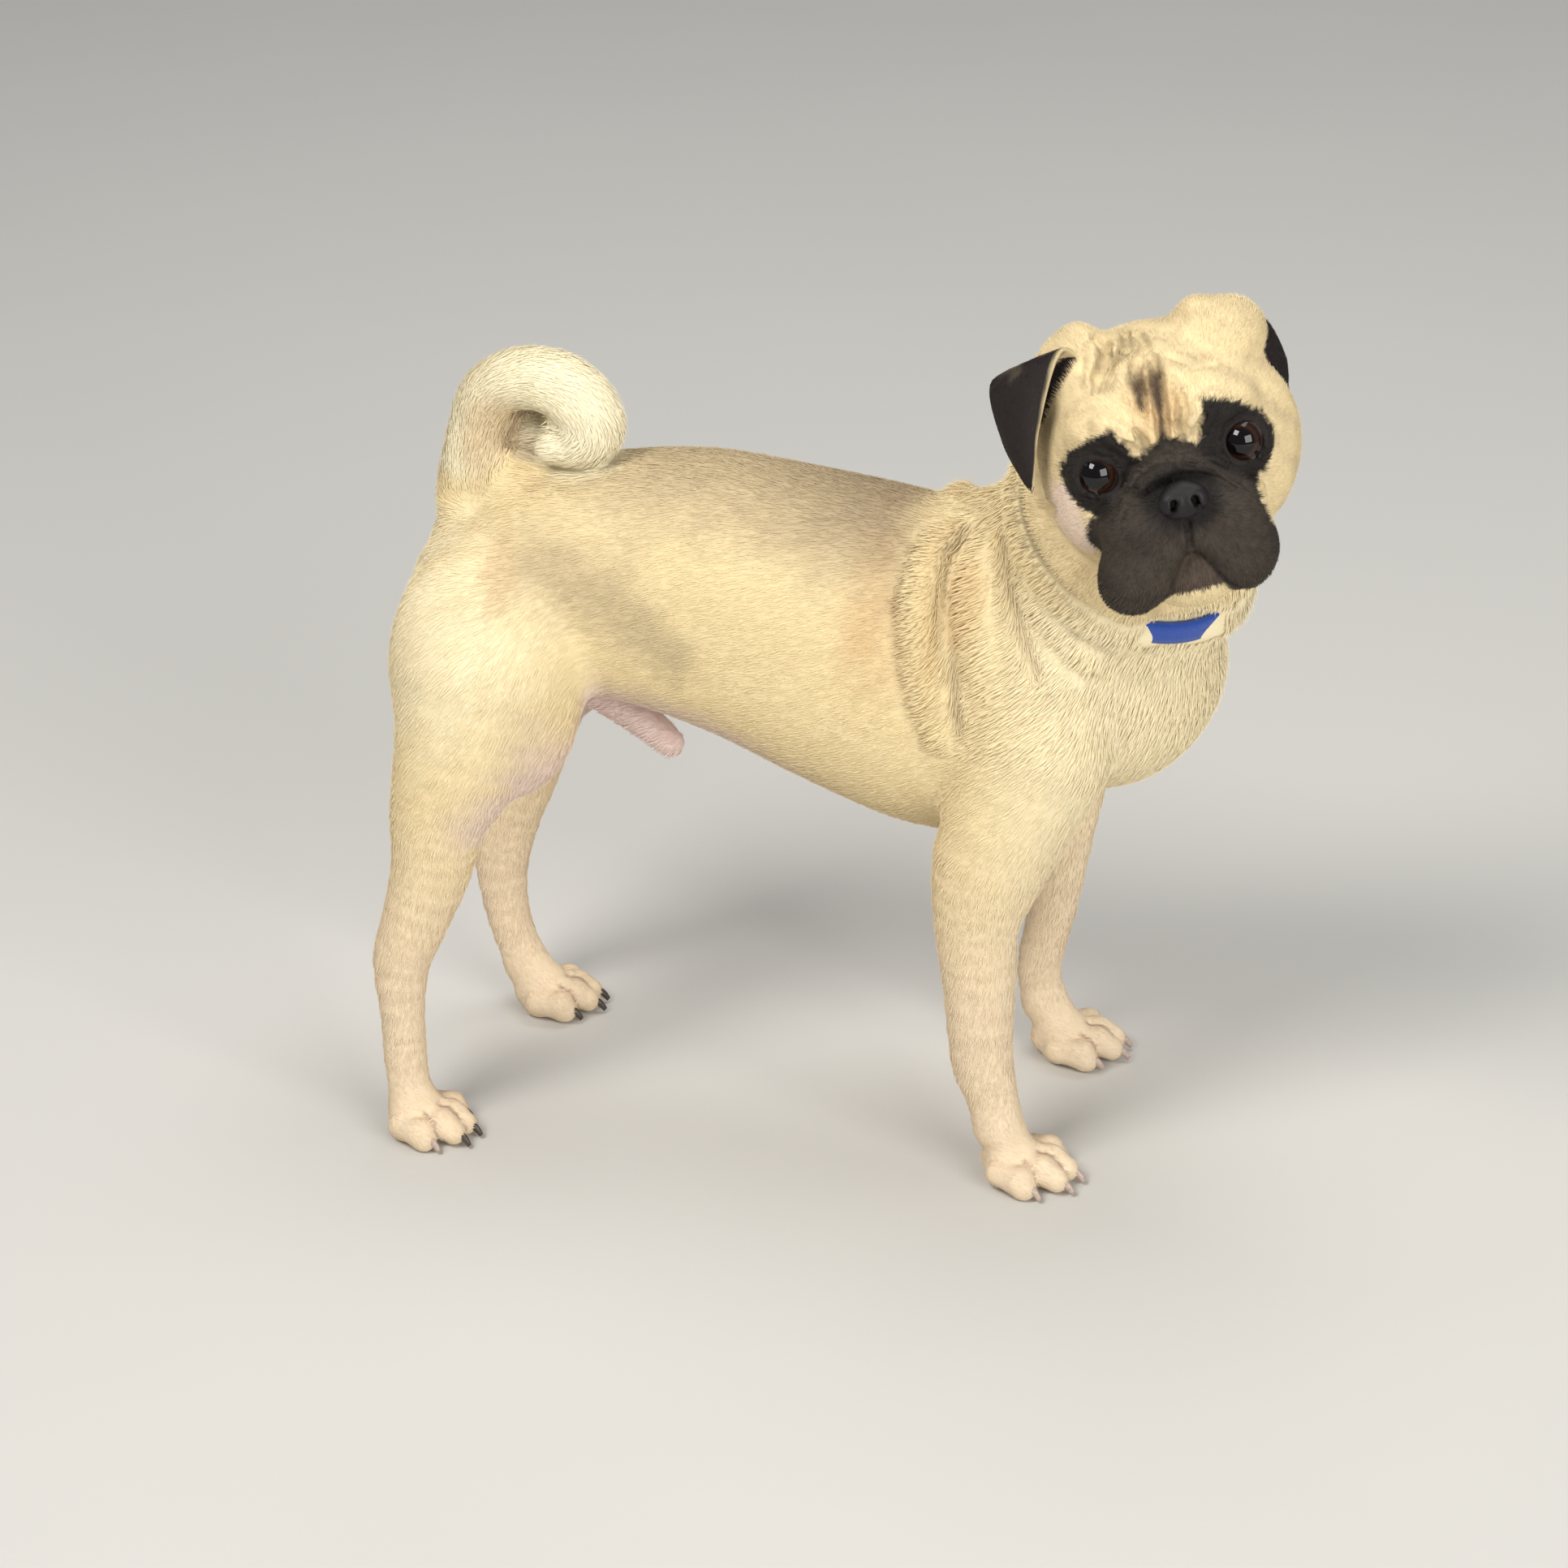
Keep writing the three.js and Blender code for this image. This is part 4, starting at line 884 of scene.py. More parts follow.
def mesh_object(name, points, faces):
    """A smooth mesh in the scene, from points in the dog's own frame."""
    mesh = bpy.data.meshes.new(name)
    mesh.from_pydata([tuple(p) for p in to_row(points)], [], [tuple(map(int, f)) for f in faces])
    mesh.polygons.foreach_set("use_smooth", [True] * len(mesh.polygons))
    mesh.update()
    piece = bpy.data.objects.new(name, mesh)
    bpy.context.scene.collection.objects.link(piece)
    return piece


def keep(mesh, name, kind, values, domain="POINT"):
    """Stores values on a mesh under a name."""
    attribute = mesh.attributes.new(name, kind, domain)
    key = {"FLOAT_COLOR": "color", "FLOAT_VECTOR": "vector", "FLOAT2": "vector"}.get(kind, "value")
    number = np.int32 if kind == "INT" else np.float32
    attribute.data.foreach_set(key, np.ascontiguousarray(values, number).ravel())


def points_of(mesh):
    """A mesh's points in the dog's own frame."""
    co = np.zeros(len(mesh.vertices) * 3, np.float32)
    mesh.vertices.foreach_get("co", co)
    return co.reshape(-1, 3).astype(float) / MM - SHIFT


def linear(colour):
    c = np.asarray(colour, float)
    return np.where(c <= 0.04045, c / 12.92, ((c + 0.055) / 1.055) ** 2.4)


class Nodes:
    """A short way to write a node tree."""

    def __init__(self, tree):
        self.tree = tree

    def add(self, kind, inputs=None, **settings):
        node = self.tree.nodes.new(kind)
        for key, value in settings.items():
            setattr(node, key, value)
        for key, value in (inputs or {}).items():
            if isinstance(value, bpy.types.NodeSocket):
                self.tree.links.new(value, node.inputs[key])
            else:
                node.inputs[key].default_value = value
        return node

    def place(self):
        """The point on the object that is being shaded."""
        return self.add("ShaderNodeTexCoord").outputs["Object"]

    def carried(self, name, output):
        """A value that the mesh carries under a name."""
        return self.add("ShaderNodeAttribute", attribute_name=name).outputs[output]

    def noise(self, place, scale, detail=2.0):
        inputs = {"Vector": place, "Scale": scale, "Detail": detail}
        return self.add("ShaderNodeTexNoise", inputs).outputs["Fac"]

    def ranged(self, value, low, high, start=0.0):
        """A value that runs from start to 1, made to run from low to high."""
        inputs = {"Value": value, "From Min": start, "To Min": low, "To Max": high}
        return self.add("ShaderNodeMapRange", inputs).outputs[0]

    def paint(self, shader, colour, light):
        """Gives a shader a colour that is made lighter and darker."""
        self.tree.links.new(self.vector("SCALE", colour, light), shader.inputs["Base Color"])

    def raise_up(self, shader, height, strength, distance, invert=False):
        """Gives a shader fine relief."""
        inputs = {"Height": height, "Strength": strength, "Distance": distance}
        relief = self.add("ShaderNodeBump", inputs, invert=invert)
        self.tree.links.new(relief.outputs[0], shader.inputs["Normal"])

    def math(self, operation, a, b=0.0):
        return self.add("ShaderNodeMath", {0: a, 1: b}, operation=operation).outputs[0]

    def vector(self, operation, a, b=(0, 0, 0)):
        node = self.add("ShaderNodeVectorMath", {0: a}, operation=operation)
        key = "Scale" if operation == "SCALE" else 1
        if isinstance(b, bpy.types.NodeSocket):
            self.tree.links.new(b, node.inputs[key])
        else:
            node.inputs[key].default_value = b
        return node.outputs[0]


def finish(name, specular=0.5, **settings):
    """A material with a principled shader. The settings are its sockets' own values."""
    material = bpy.data.materials.new(name)
    material.use_nodes = True
    shader = material.node_tree.nodes["Principled BSDF"]
    shader.inputs["Specular IOR Level"].default_value = specular
    for key, value in settings.items():
        shader.inputs[key.replace("_", " ").title()].default_value = value
    return material, Nodes(material.node_tree), shader


# Sizes and colours that a user would change

def tint(text):
    """A linear colour from six hex digits."""
    return tuple(float(v) for v in linear([int(text[i : i + 2], 16) / 255 for i in (0, 2, 4)]))


def colour_property(name, text, description):
    return bpy.props.FloatVectorProperty(
        name=name, description=description, subtype="COLOR", size=3, min=0, max=1, default=tint(text)
    )


def length_property(name, millimetres, description):
    return bpy.props.FloatProperty(
        name=name, description=description, default=millimetres * MM, min=0, subtype="DISTANCE", unit="LENGTH"
    )


class PugSizes(bpy.types.PropertyGroup):
    cell: length_property("Skin cell", 2.95, "Width of the skin's faces, halved on the head and paws")
    back_tuft: length_property("Back tufts", 4.6, "Length of the tufts on the trunk")
    neck_tuft: length_property("Neck tufts", 7.0, "Length of the tufts on the neck and the chest")
    tail_tuft: length_property("Tail tufts", 6.0, "Length of the tufts on the tail")
    leg_tuft: length_property("Leg tufts", 4.0, "Length of the tufts on the legs")
    foot_tuft: length_property("Foot tufts", 2.5, "Length of the tufts on the feet")
    face_tuft: length_property("Face tufts", 2.4, "Length of the tufts on the face")
    tuft_width: length_property("Tuft width", 0.54, "Width of a tuft on the trunk")
    tufts: bpy.props.FloatProperty(
        name="Tufts", description="Tufts on a square centimetre of the trunk", default=80, min=1
    )
    iris: length_property("Iris", 8.7, "Radius of the iris")
    pupil: length_property("Pupil", 5.5, "Radius of the pupil")
    claw: length_property("Claw", 8.0, "Length of a claw from its root")


class PugColours(bpy.types.PropertyGroup):
    cream: colour_property("Cream", "EBD7A8", "Ground colour of the coat")
    pale: colour_property("Pale", "F8EFD0", "Coat of the tail, chest and haunch")
    # Saddle also darkens the creases behind the shoulders and the tucked end of the tail, as painted shade
    saddle: colour_property("Saddle", "96826A", "Darker trace along the back")
    # Tan also darkens the inner side of the tail's root, as painted shade
    tan: colour_property("Tan", "CDA470", "Warm coat behind the shoulder")
    belly: colour_property("Belly", "EAD4CC", "Bare skin of the belly and groin")
    foot: colour_property("Foot", "E8D3B6", "Coat of the lower legs and feet")
    web: colour_property("Web", "8E6A5A", "Skin between the toes")
    mask: colour_property("Mask", "211D1B", "Mask and eye patches")
    flew: colour_property("Flew", "40382F", "Lighter hair of the flews")
    # Mark also darkens the grooves of the face and the crease over the collar, as painted shade that is
    # partly darker hair
    mark: colour_property("Mark", "4E4032", "Thumb mark and folds of the forehead")
    # Ear also darkens the hollow inside the fold of each ear, as painted shade that is partly dark hair
    ear: colour_property("Ear", "241D1C", "Velvet of the ears")
    lip: colour_property("Lip", "4C4036", "Front of the chin, between the lips")
    # Nose also darkens the grooves of the mask, as painted shade
    nose: colour_property("Nose", "181516", "Nose leather")
    iris: colour_property("Iris", "2C1A12", "Iris")
    claw: colour_property("Claw", "BBA699", "Horn of the claws")
    dark_claw: colour_property("Dark claw", "4A3E38", "Horn of the hind claws")
    collar: colour_property("Collar", "0F46A8", "Webbing of the collar")
    floor: colour_property("Floor", "CFCDC8", "Floor of the studio")


def sizes():
    return bpy.context.scene.pug_sizes


def colours():
    return bpy.context.scene.pug_colours


# Markings and the lie of the coat

def ripple(points, length, seed=0):
    """An uneven value from -1 to 1 that changes over about the given length."""
    value = np.zeros(len(points))
    for k in range(6):
        turn = seed * 1.7 + k * 2.399
        way = np.array([math.cos(turn), math.sin(turn * 1.3 + k), math.cos(turn * 0.7 + 2 * k)])
        way /= np.linalg.norm(way)
        value += np.sin(points @ way * (2 * math.pi / length) * (0.7 + 0.17 * k) + 1.9 * k + seed)
    return value / 3.2


def spans(points, corners):
    """The ends of each straight span of a line, how far along it points lie, and how far off it."""
    for start, end in zip(corners, corners[1:]):
        run = end - start
        t = np.clip((points - start) @ run / max(run @ run, 1e-9), 0, 1)
        yield start, end, t, np.linalg.norm(points - start - t[:, None] * run, axis=1)


def from_line(points, joints):
    """How far points lie from a line through joints, as a share of its radius there."""
    joints = np.array(joints, float)
    best = np.full(len(points), 1e9)
    for a, b, (_, _, t, off) in zip(joints[:, -1], joints[1:, -1], spans(points, joints[:, :-1])):
        best = np.minimum(best, off / (a + t * (b - a)))
    return best


def beside(points, joints):
    """How far points lie from a line through joints, and which way it runs there."""
    nearest = np.full(len(points), 1e9)
    along = np.zeros((len(points), 3))
    for start, end, _, off in spans(points, np.array(joints, float)[:, :3]):
        closer = off < nearest
        nearest[closer] = off[closer]
        along[closer] = unit(end - start)
    return nearest, along


def patch(points, centre, half):
    """0 at a patch's middle and 1 at its rim."""
    return np.linalg.norm((points - np.array(centre)) / np.array(half), axis=1)


def mixed(colour, other, share):
    return colour + (np.array(other) - colour) * np.clip(share, 0, 1)[:, None]


# Middle and half sizes of the rounded markings, the last two seen from straight ahead, and a streak seen
# from the side
PATCHES = {
    "haunch": ((-118, 0, 215), (52, 95, 62)), "tan": ((60, 0, 240), (21, 95, 42)),
    # inner: painted shade on the inner side of the tail's root, under its curl
    "brindle": ((98, 48, 262), (10, 20, 30)), "inner": ((-108, -8, 298), (13, 22, 22)),
    "middle": ((-1.5, 25), (12, 20)), "flew": ((0, -12.5), (13, 11)),
}
STREAK = [(-84, 262, 15), (-58, 250, 18), (-26, 226, 12)]
# How strong each marking is, and each painted shade
SHARE = {
    "haunch": 0.55, "front": 0.5, "saddle": 0.8, "streak": 0.42, "tan": 0.5, "brindle": 0.3, "belly": 0.8,
    "foot": 0.85, "web": 0.8, "tail": 0.9, "inner": 0.4, "tucked_shade": 0.25, "middle": 0.55, "wrinkle_shade": 0.55,
    "cheek": 0.6, "mask_groove_shade": 0.75, "chin": 0.95,
}


def coat_colour(points, normals):
    """Colour of skin and coat at points of the surface."""
    c = colours()
    x, _, z = points.T
    wave = ripple(points, 22, 1) * 0.6 + ripple(points, 7, 2) * 0.4
    colour = np.tile(np.array(c.cream), (len(points), 1))
    head = into_head(points)
    on = head_share(points)
    trunk = (1 - on) * smooth(120, 160, z)
    # pale haunch, shoulder and chest
    haunch = 1 - smooth(0.55, 1.15, patch(points, *PATCHES["haunch"]) + 0.08 * wave)
    front = smooth(95, 150, x) * (1 - smooth(258, 285, z))
    colour = mixed(colour, c.pale, np.maximum(haunch * SHARE["haunch"], front * SHARE["front"]) * (1 - on))
    # saddle along the back
    ridge = np.interp(x, TRUNK[:, 0], TRUNK[:, 1])
    down = (ridge - z) + 5 * wave
    strong = smooth(-95, -30, x) * (1 - smooth(60, 84, x + 4 * wave)) * (0.7 + 0.3 * smooth(-20, 70, x))
    strong *= 1 - smooth(2, 34 + 14 * smooth(0, 70, x), down)
    colour = mixed(colour, c.saddle, strong * SHARE["saddle"] * (1 - on))
    # darker streaks ahead of the haunch
    streak = from_line(points[:, [0, 2]], STREAK)
    colour = mixed(colour, c.saddle, (1 - smooth(0.1, 1.6, streak + 0.3 * wave)) * SHARE["streak"] * trunk)
    # tan behind the shoulder, and painted shade, partly darker hair, in the creases between the rolls
    tan = 1 - smooth(0.3, 1.15, patch(points, *PATCHES["tan"]) + 0.15 * wave)
    colour = mixed(colour, c.tan, tan * SHARE["tan"] * trunk)
    for joints, share in zip(CREASES, CREASE_SHADE_SHARES):
        line = np.minimum(from_line(points, joints), from_line(points, mirrored(joints, -1)))
        colour = mixed(colour, c.saddle, (1 - smooth(0.6, 3.0, line + 0.3 * wave)) * share * (1 - on))
    brindle = 1 - smooth(0.5, 1.1, patch(np.abs(points), *PATCHES["brindle"]) + 0.2 * wave)
    colour = mixed(colour, c.tan, brindle * SHARE["brindle"] * trunk)
    # bare belly and groin
    low = np.interp(x, TRUNK[:, 0], TRUNK[:, 2])
    belly = (1 - smooth(4, 32, z - low + 6 * wave)) * (1 - smooth(-20, 60, x))
    belly *= smooth(0.0, -0.5, normals[:, 2]) * (z > 140)
    colour = mixed(colour, c.belly, belly * SHARE["belly"])
    colour = mixed(colour, c.belly, 1 - smooth(0.9, 1.4, from_line(points, SHEATH)))
    # lower legs and feet
    colour = mixed(colour, c.foot, (1 - smooth(60, 190, z)) * SHARE["foot"])
    for leg in LEGS.values():
        toes = [from_line(points, joints[1:]) for joints, _ in toes_of(leg["paw"])]
        near, next_ = np.sort(toes, axis=0)[:2]
        gap = (1 - smooth(0.02, 0.24, next_ - near)) * (1 - smooth(1.15, 1.45, near))
        colour = mixed(colour, c.web, gap * SHARE["web"])
    # tail
    tip = from_line(points, TAIL_TIP)
    tail = 1 - smooth(1.0, 1.6, np.minimum(from_line(points, TAIL_LINE[TAIL_FROM["pale"] :]), tip))
    colour = mixed(colour, c.pale, tail * SHARE["tail"])
    # painted shade, in tan, on the inner side of the tail's root under its curl
    inner = (1 - smooth(0.7, 1.4, patch(points, *PATCHES["inner"]))) * tail
    colour = mixed(colour, c.tan, inner * SHARE["inner"])
    # painted shade on the end of the tail, where it lies tucked behind the curl
    tucked_shade = (1 - smooth(1.0, 1.3, tip)) * smooth(1.0, 1.2, from_line(points, TAIL_LINE[TAIL_FROM["pale"] :]))
    colour = mixed(colour, c.saddle, tucked_shade * smooth(-72, -84, x) * SHARE["tucked_shade"])
    return face_colour(colour, head, on, wave, c)


# How far back each part of the mask goes, and its outline seen from straight ahead: muzzle, right and
# left eye patch
MASK = [
    (-10, [
        (-29, -14), (-23, -5), (-17, 1.4), (-11, 5.2), (-3.5, 8.6), (2, 8.6), (9, 5.4), (14, -1),
        (19, -6.5), (26, -12), (29.5, -17), (31.5, -26), (34, -37), (35, -48), (33, -70), (-38, -70),
        (-39, -52), (-38, -40), (-37.5, -26), (-36, -18),
    ]),
    (-24, [
        (-20.6, 18.2), (-25, 16.8), (-31, 14.6), (-38.6, 9.2), (-42.4, 2), (-41.4, -5.6), (-38, -12),
        (-32, -17), (-24, -16), (-12, -4), (-11, 3.4), (-15, 6.4), (-17.8, 11.4),
    ]),
    (-24, [
        (15.8, 20.6), (22.2, 20), (30, 15.6), (38, 8.8), (41.4, 1.8), (38.6, -6.8), (34.4, -14),
        (28, -17), (20, -14), (11, -4), (9, 4), (12.4, 7.6), (13.4, 13),
    ]),
]
MASK_FADE = {"off": 9, "over": 8}
PINK = [(-43, -7, 6), (-43.5, -18, 7), (-38.5, -30, 5)]
# Painted shade, partly dark hair, in the hollow inside the fold of the right and the left ear
EAR_HOLLOW_SHADE = [
    [(-25, -27, 45, 2.5), (-26, -34, 38, 3.2), (-28, -41, 29, 3), (-33, -46, 19, 2.2)],
    [(-36, 35, 37, 3), (-38, 41, 28, 3), (-41, 45, 16, 2.4)],
]
CHIN = HEAD[2][1][0]
MUZZLE = fold(HEAD[1:2] + FULL[:3])
MARKS_AND_GROOVE_SHADE = [
    # strength, and line of the thumb mark, the smears beside it and the shade of grooves, seen from straight
    # ahead
    (0.95, [(-5.4, 37, 2.4), (-7.4, 32, 3.0), (-6.6, 27, 2.2), (-7.2, 22, 1.2)]),
    (1.0, [(2.2, 37, 2.8), (1.4, 31, 2.8), (0.2, 26, 2.2), (-0.6, 20, 1.6)]),
    (0.7, [(-3, 38, 2.8), (1, 39, 3.0)]),
    (0.45, [(3, 37.5, 2.8), (12, 35.5, 3.2), (20, 32, 2.4)]),
    (0.55, [(-2.6, 34, 3.2), (-2.8, 27, 3.4)]),
    # the last three follow the grooves between the brows: painted shade, partly darker hair
    (0.9, [(-0.4, 20, 1.0), (-1.2, 14, 1.3), (-1.9, 8, 1.6)]),
    (0.45, [(7.6, 19, 1.0), (5.2, 12, 1.2), (5.7, 7, 1.4)]),
    (0.5, [(-11, 13, 0.9), (-10, 10, 1.2), (-9.2, 6.5, 1.3)]),
]


def within(flat, outline):
    """How far points lie outside an outline, or, less than 0, inside it."""
    corners = np.array(outline, float)
    inside = np.zeros(len(flat), bool)
    best = np.full(len(flat), 1e9)
    for start, end, _, off in spans(flat, np.vstack([corners, corners[:1]])):
        run = end - start
        best = np.minimum(best, off)
        crosses = (start[1] > flat[:, 1]) != (end[1] > flat[:, 1])
        at = start[0] + (flat[:, 1] - start[1]) * run[0] / (run[1] if run[1] else 1e-9)
        inside ^= crosses & (flat[:, 0] < at)
    return np.where(inside, -best, best)


def face_colour(colour, head, on, wave, c):
    """The coat's colour with the markings of the head, and painted shade in its grooves and creases, laid
    over it.
    """
    flat = head[:, 1:]
    ahead, _, up = head.T
    near = 1 - smooth(52, 62, np.linalg.norm(head - (0, 0, -22), axis=1))
    front = smooth(-32, -24, ahead) * near
    fuzz = 0.9 * wave + 0.5 * ripple(head, 2.6, 5)
    colour = mixed(colour, c.tan, 0.06 * on)
    shade = 0.12 + 0.14 * ripple(head, 19, 6) + 0.09 * ripple(head, 6, 7)
    colour = mixed(colour, c.saddle, shade * on)
    middle = 1 - smooth(0.3, 1.2, patch(flat, *PATCHES["middle"]) + 0.15 * wave)
    colour = mixed(colour, c.tan, middle * SHARE["middle"] * front)
    # wrinkles, darkened with painted shade that is partly darker hair, and the thumb mark
    for share, joints in GROOVE_SHADE_LINES:
        dark = 1 - smooth(0.5, 1.3, from_line(head, joints) + 0.12 * fuzz)
        colour = mixed(colour, c.mark, dark * share * SHARE["wrinkle_shade"] * on)
    # thumb mark, and painted shade along the grooves between the brows
    for share, line in MARKS_AND_GROOVE_SHADE:
        dark = 1 - smooth(0.3, 1.6, from_line(flat, line) + 0.3 * fuzz)
        colour = mixed(colour, c.mark, dark * share * front)
    # pinkish cheeks beside the muzzle
    cheek = 1 - smooth(0.4, 1.2, from_line(flat, PINK) + 0.1 * wave)
    colour = mixed(colour, c.belly, cheek * SHARE["cheek"] * front)
    # mask, paler on the flews, and the chin behind it
    aways = []
    for back, outline in MASK:
        behind = 1 - smooth(back - MASK_FADE["over"], back, ahead)
        aways.append(within(flat, outline) + MASK_FADE["off"] * behind)
    dark = 1 - smooth(-0.7, 1.1, np.min(aways, axis=0) + fuzz)
    flew = 1 - smooth(-3, 1, within(flat, MASK[0][1]) + wave)
    flew *= smooth(0.9, 1.5, patch(flat, *PATCHES["flew"]))
    shade = mixed(np.tile(np.array(c.mask), (len(head), 1)), c.flew, flew * (0.8 + 0.35 * fuzz))
    # painted shade in the grooves of the mask, darkened toward the nose leather's colour
    for share, joints in GROOVE_SHADE_LINES:
        if share == 0:
            line = 1 - smooth(0.4, 1.2, from_line(head, joints))
            shade = mixed(shade, c.nose, line * SHARE["mask_groove_shade"])
    colour = colour + (shade - colour) * (dark * front)[:, None]
    chin = (1 - smooth(-0.9, 0.9, CHIN.away(head) - MUZZLE(head))) * smooth(-33, -35, up) * front
    between = 1 - smooth(-0.6, 0.8, within(flat, [(j[1], j[2]) for j in MOUTH[1:6]]) - 2.4 + 0.4 * fuzz)
    low = np.maximum(1 - between, smooth(-50.2, -51.8, up + 0.8 * fuzz))
    colour = mixed(colour, c.lip, chin)
    colour = mixed(colour, c.cream, chin * low * SHARE["chin"])
    line = np.minimum(from_line(head, MOUTH), from_line(head, LIP_LINE))
    colour = mixed(colour, c.mask, (1 - smooth(0.9, 1.5, line)) * front)
    # crease over the collar: painted shade of the folds over the collar's edge, partly dark hair
    at = on_head(head)
    along, off, away = into_collar(at)
    shut = smooth(THROAT["open"], THROAT["shut"], away)
    crease = np.abs(along - CREASE["along"]) / CREASE["wide"] + 3 * smooth(*CREASE["deep"], off)
    fade = (0.3 + 0.7 * smooth(266, 292, at[:, 2])) * smooth(0, -30, at[:, 1])
    dark = (1 - smooth(0.3, 1.3, crease + 0.2 * wave)) * CREASE["share"]
    colour = mixed(colour, c.mark, dark * shut * fade)
    # painted shade, partly dark hair, in the hollow inside the fold of each ear, and the mole
    inner = np.min([from_line(head, joints) for joints in EAR_HOLLOW_SHADE], axis=0)
    colour = mixed(colour, c.ear, 1 - smooth(0.9, 1.35, inner))
    return mixed(colour, c.mask, 1 - smooth(0.6, 1.1, patch(head, MOLE["at"], MOLE["dark"])))


LIE = {"trunk": (-1.0, 0.0, -0.28), "leg": (-0.25, 0.0, -1.0), "foot": (0.8, 0.0, -0.35)}
NOSE_TIP = (16, 0, -8)


def coat_lie(points, normals):
    """The way in which the hair lies, and how far points belong to the tail and to the head."""
    x, _, z = points.T
    head = into_head(points)
    on = head_share(points)[:, None]
    trunk = np.tile(LIE["trunk"], (len(points), 1))
    trunk[:, 2] -= 0.5 * smooth(60, 140, x)
    trunk[:, 0] += 0.75 * smooth(120, 190, x) * (1 - smooth(250, 300, z))
    trunk[:, 2] -= 0.9 * (1 - smooth(-95, -60, x)) * (1 - smooth(225, 262, z))
    leg = np.tile(LIE["leg"], (len(points), 1))
    low = (1 - smooth(130, 185, z))[:, None]
    lie = trunk + (leg - trunk) * low
    foot = np.tile(LIE["foot"], (len(points), 1))
    lie += (foot - lie) * (1 - smooth(20, 34, z))[:, None]
    # face: away from the nose, and back over the skull
    away = unit(head - NOSE_TIP) + np.array([-0.6, 0, 0])
    lie = lie + (away @ HEAD_TURN.T - lie) * on
    # along the creases of the shoulder, and along the tail
    for joints in CREASES:
        for side in (1, -1):
            nearest, along = beside(points, mirrored(joints, side))
            lie = lie + (along - lie) * (1 - smooth(2, 6, nearest))[:, None]
    nearest, along = beside(points, TAIL_LINE[TAIL_FROM["lie"] :])
    tail = (1 - smooth(17, 26, nearest))[:, None] * smooth(262, 285, z)[:, None]
    lie = lie + (along - lie) * tail
    lie -= (lie * normals).sum(1)[:, None] * normals
    return unit(lie), tail[:, 0], on[:, 0]


# Regions of the coat, each grown as a piece of its own
REGIONS = ("face", "skull", "neck", "chest", "ribs", "loin", "rump", "tail", "fore_legs", "hind_legs")
# Where they part along the back, down the legs, up the neck and on the head, as points on planes with
# the way each faces
ENDS = {
    "rump": -78, "ribs": -10, "chest": 62, "shoulder": 80, "fore_legs": (20, 160), "hind_legs": (-70, 170),
}
TAIL_ENDS = {"up": 268, "ahead": -60, "off": 1.35}
NECK_ROOT = ((128, 0, 262), (0.5, 0, 0.87))
NAPE = ((-66, 0, -28), (0.55, -0.6, 0.6))
FACE_BACK, HEAD_ROUND = -32, 100


def region_of(points):
    """The number of the region that each point lies in, or -1 where no tufts grow."""
    x, _, z = points.T
    head = into_head(points)
    fore, hind = ENDS["fore_legs"], ENDS["hind_legs"]
    neck = (points - NECK_ROOT[0]) @ unit(np.array(NECK_ROOT[1])) > 0
    nape = (points - on_head(NAPE[0])) @ unit(np.array(NAPE[1])) > 0
    on = (x > ENDS["shoulder"]) & nape & (np.linalg.norm(head - SKULL, axis=1) < HEAD_ROUND)
    tail = np.minimum(from_line(points, TAIL[1:]), from_line(points, TAIL_TIP)) < TAIL_ENDS["off"]
    region = np.full(len(points), REGIONS.index("loin"))
    for name, inside in (
        ("ribs", x > ENDS["ribs"]),
        ("chest", x > ENDS["chest"]),
        ("rump", x < ENDS["rump"]),
        ("neck", (x > ENDS["shoulder"]) & neck),
        ("fore_legs", (x > fore[0]) & (z < fore[1])),
        ("hind_legs", (x < hind[0]) & (z < hind[1])),
        ("skull", on),
        ("face", on & (head[:, 0] > FACE_BACK)),
        ("tail", (z > TAIL_ENDS["up"]) & (x < TAIL_ENDS["ahead"]) & tail),
    ):
        region[inside] = REGIONS.index(name)
    return np.where(bare(points, head), -1, region)


BARE = {"lids": 1.7, "nose": 1.12, "mouth": 1.2, "throat": 25, "over": 4, "floor": 3}


def bare(points, head):
    """Where no tufts grow: between the lids, in the mouth's line, under the nose, the collar and the paws."""
    bare = np.zeros(len(points), bool)
    for side in LIDS:
        bare |= (opening_away(side, BARE["lids"])(head) < 0) & (head[:, 0] < 6)
    bare |= np.linalg.norm((head - NOSE["at"]) / np.array(NOSE["half"]), axis=1) < BARE["nose"]
    bare |= np.minimum(from_line(head, MOUTH), from_line(head, LIP_LINE)) < BARE["mouth"]
    along, off, away = into_collar(points)
    half = COLLAR["wide"] / 2
    shown = (along > -half - 0.5 + 7 * smooth(14, 30, away)) & (along < half + BARE["over"])
    bare |= shown & (away < BARE["throat"]) & (off < NECK_ROUND)
    return bare | (points[:, 2] < BARE["floor"])


# The skin

SKIN_LOW, SKIN_HIGH = (-176, -106, -6), (240, 91, 406)


def refined(piece, wanted):
    """Halves the faces whose middles are wanted."""
    mesh = piece.data
    work = bmesh.new()
    work.from_mesh(mesh)
    middles = np.array([f.calc_center_median() for f in work.faces]) / MM - SHIFT
    chosen = wanted(middles)
    edges = {e for f, take in zip(work.faces, chosen) if take for e in f.edges}
    bmesh.ops.subdivide_edges(work, edges=list(edges), cuts=1, use_grid_fill=True)
    bmesh.ops.triangulate(work, faces=[f for f in work.faces if len(f.verts) > 4])
    work.to_mesh(mesh)
    work.free()


def set_points(mesh, points):
    mesh.vertices.foreach_set("co", to_row(points).astype(np.float32).ravel())
    mesh.update()


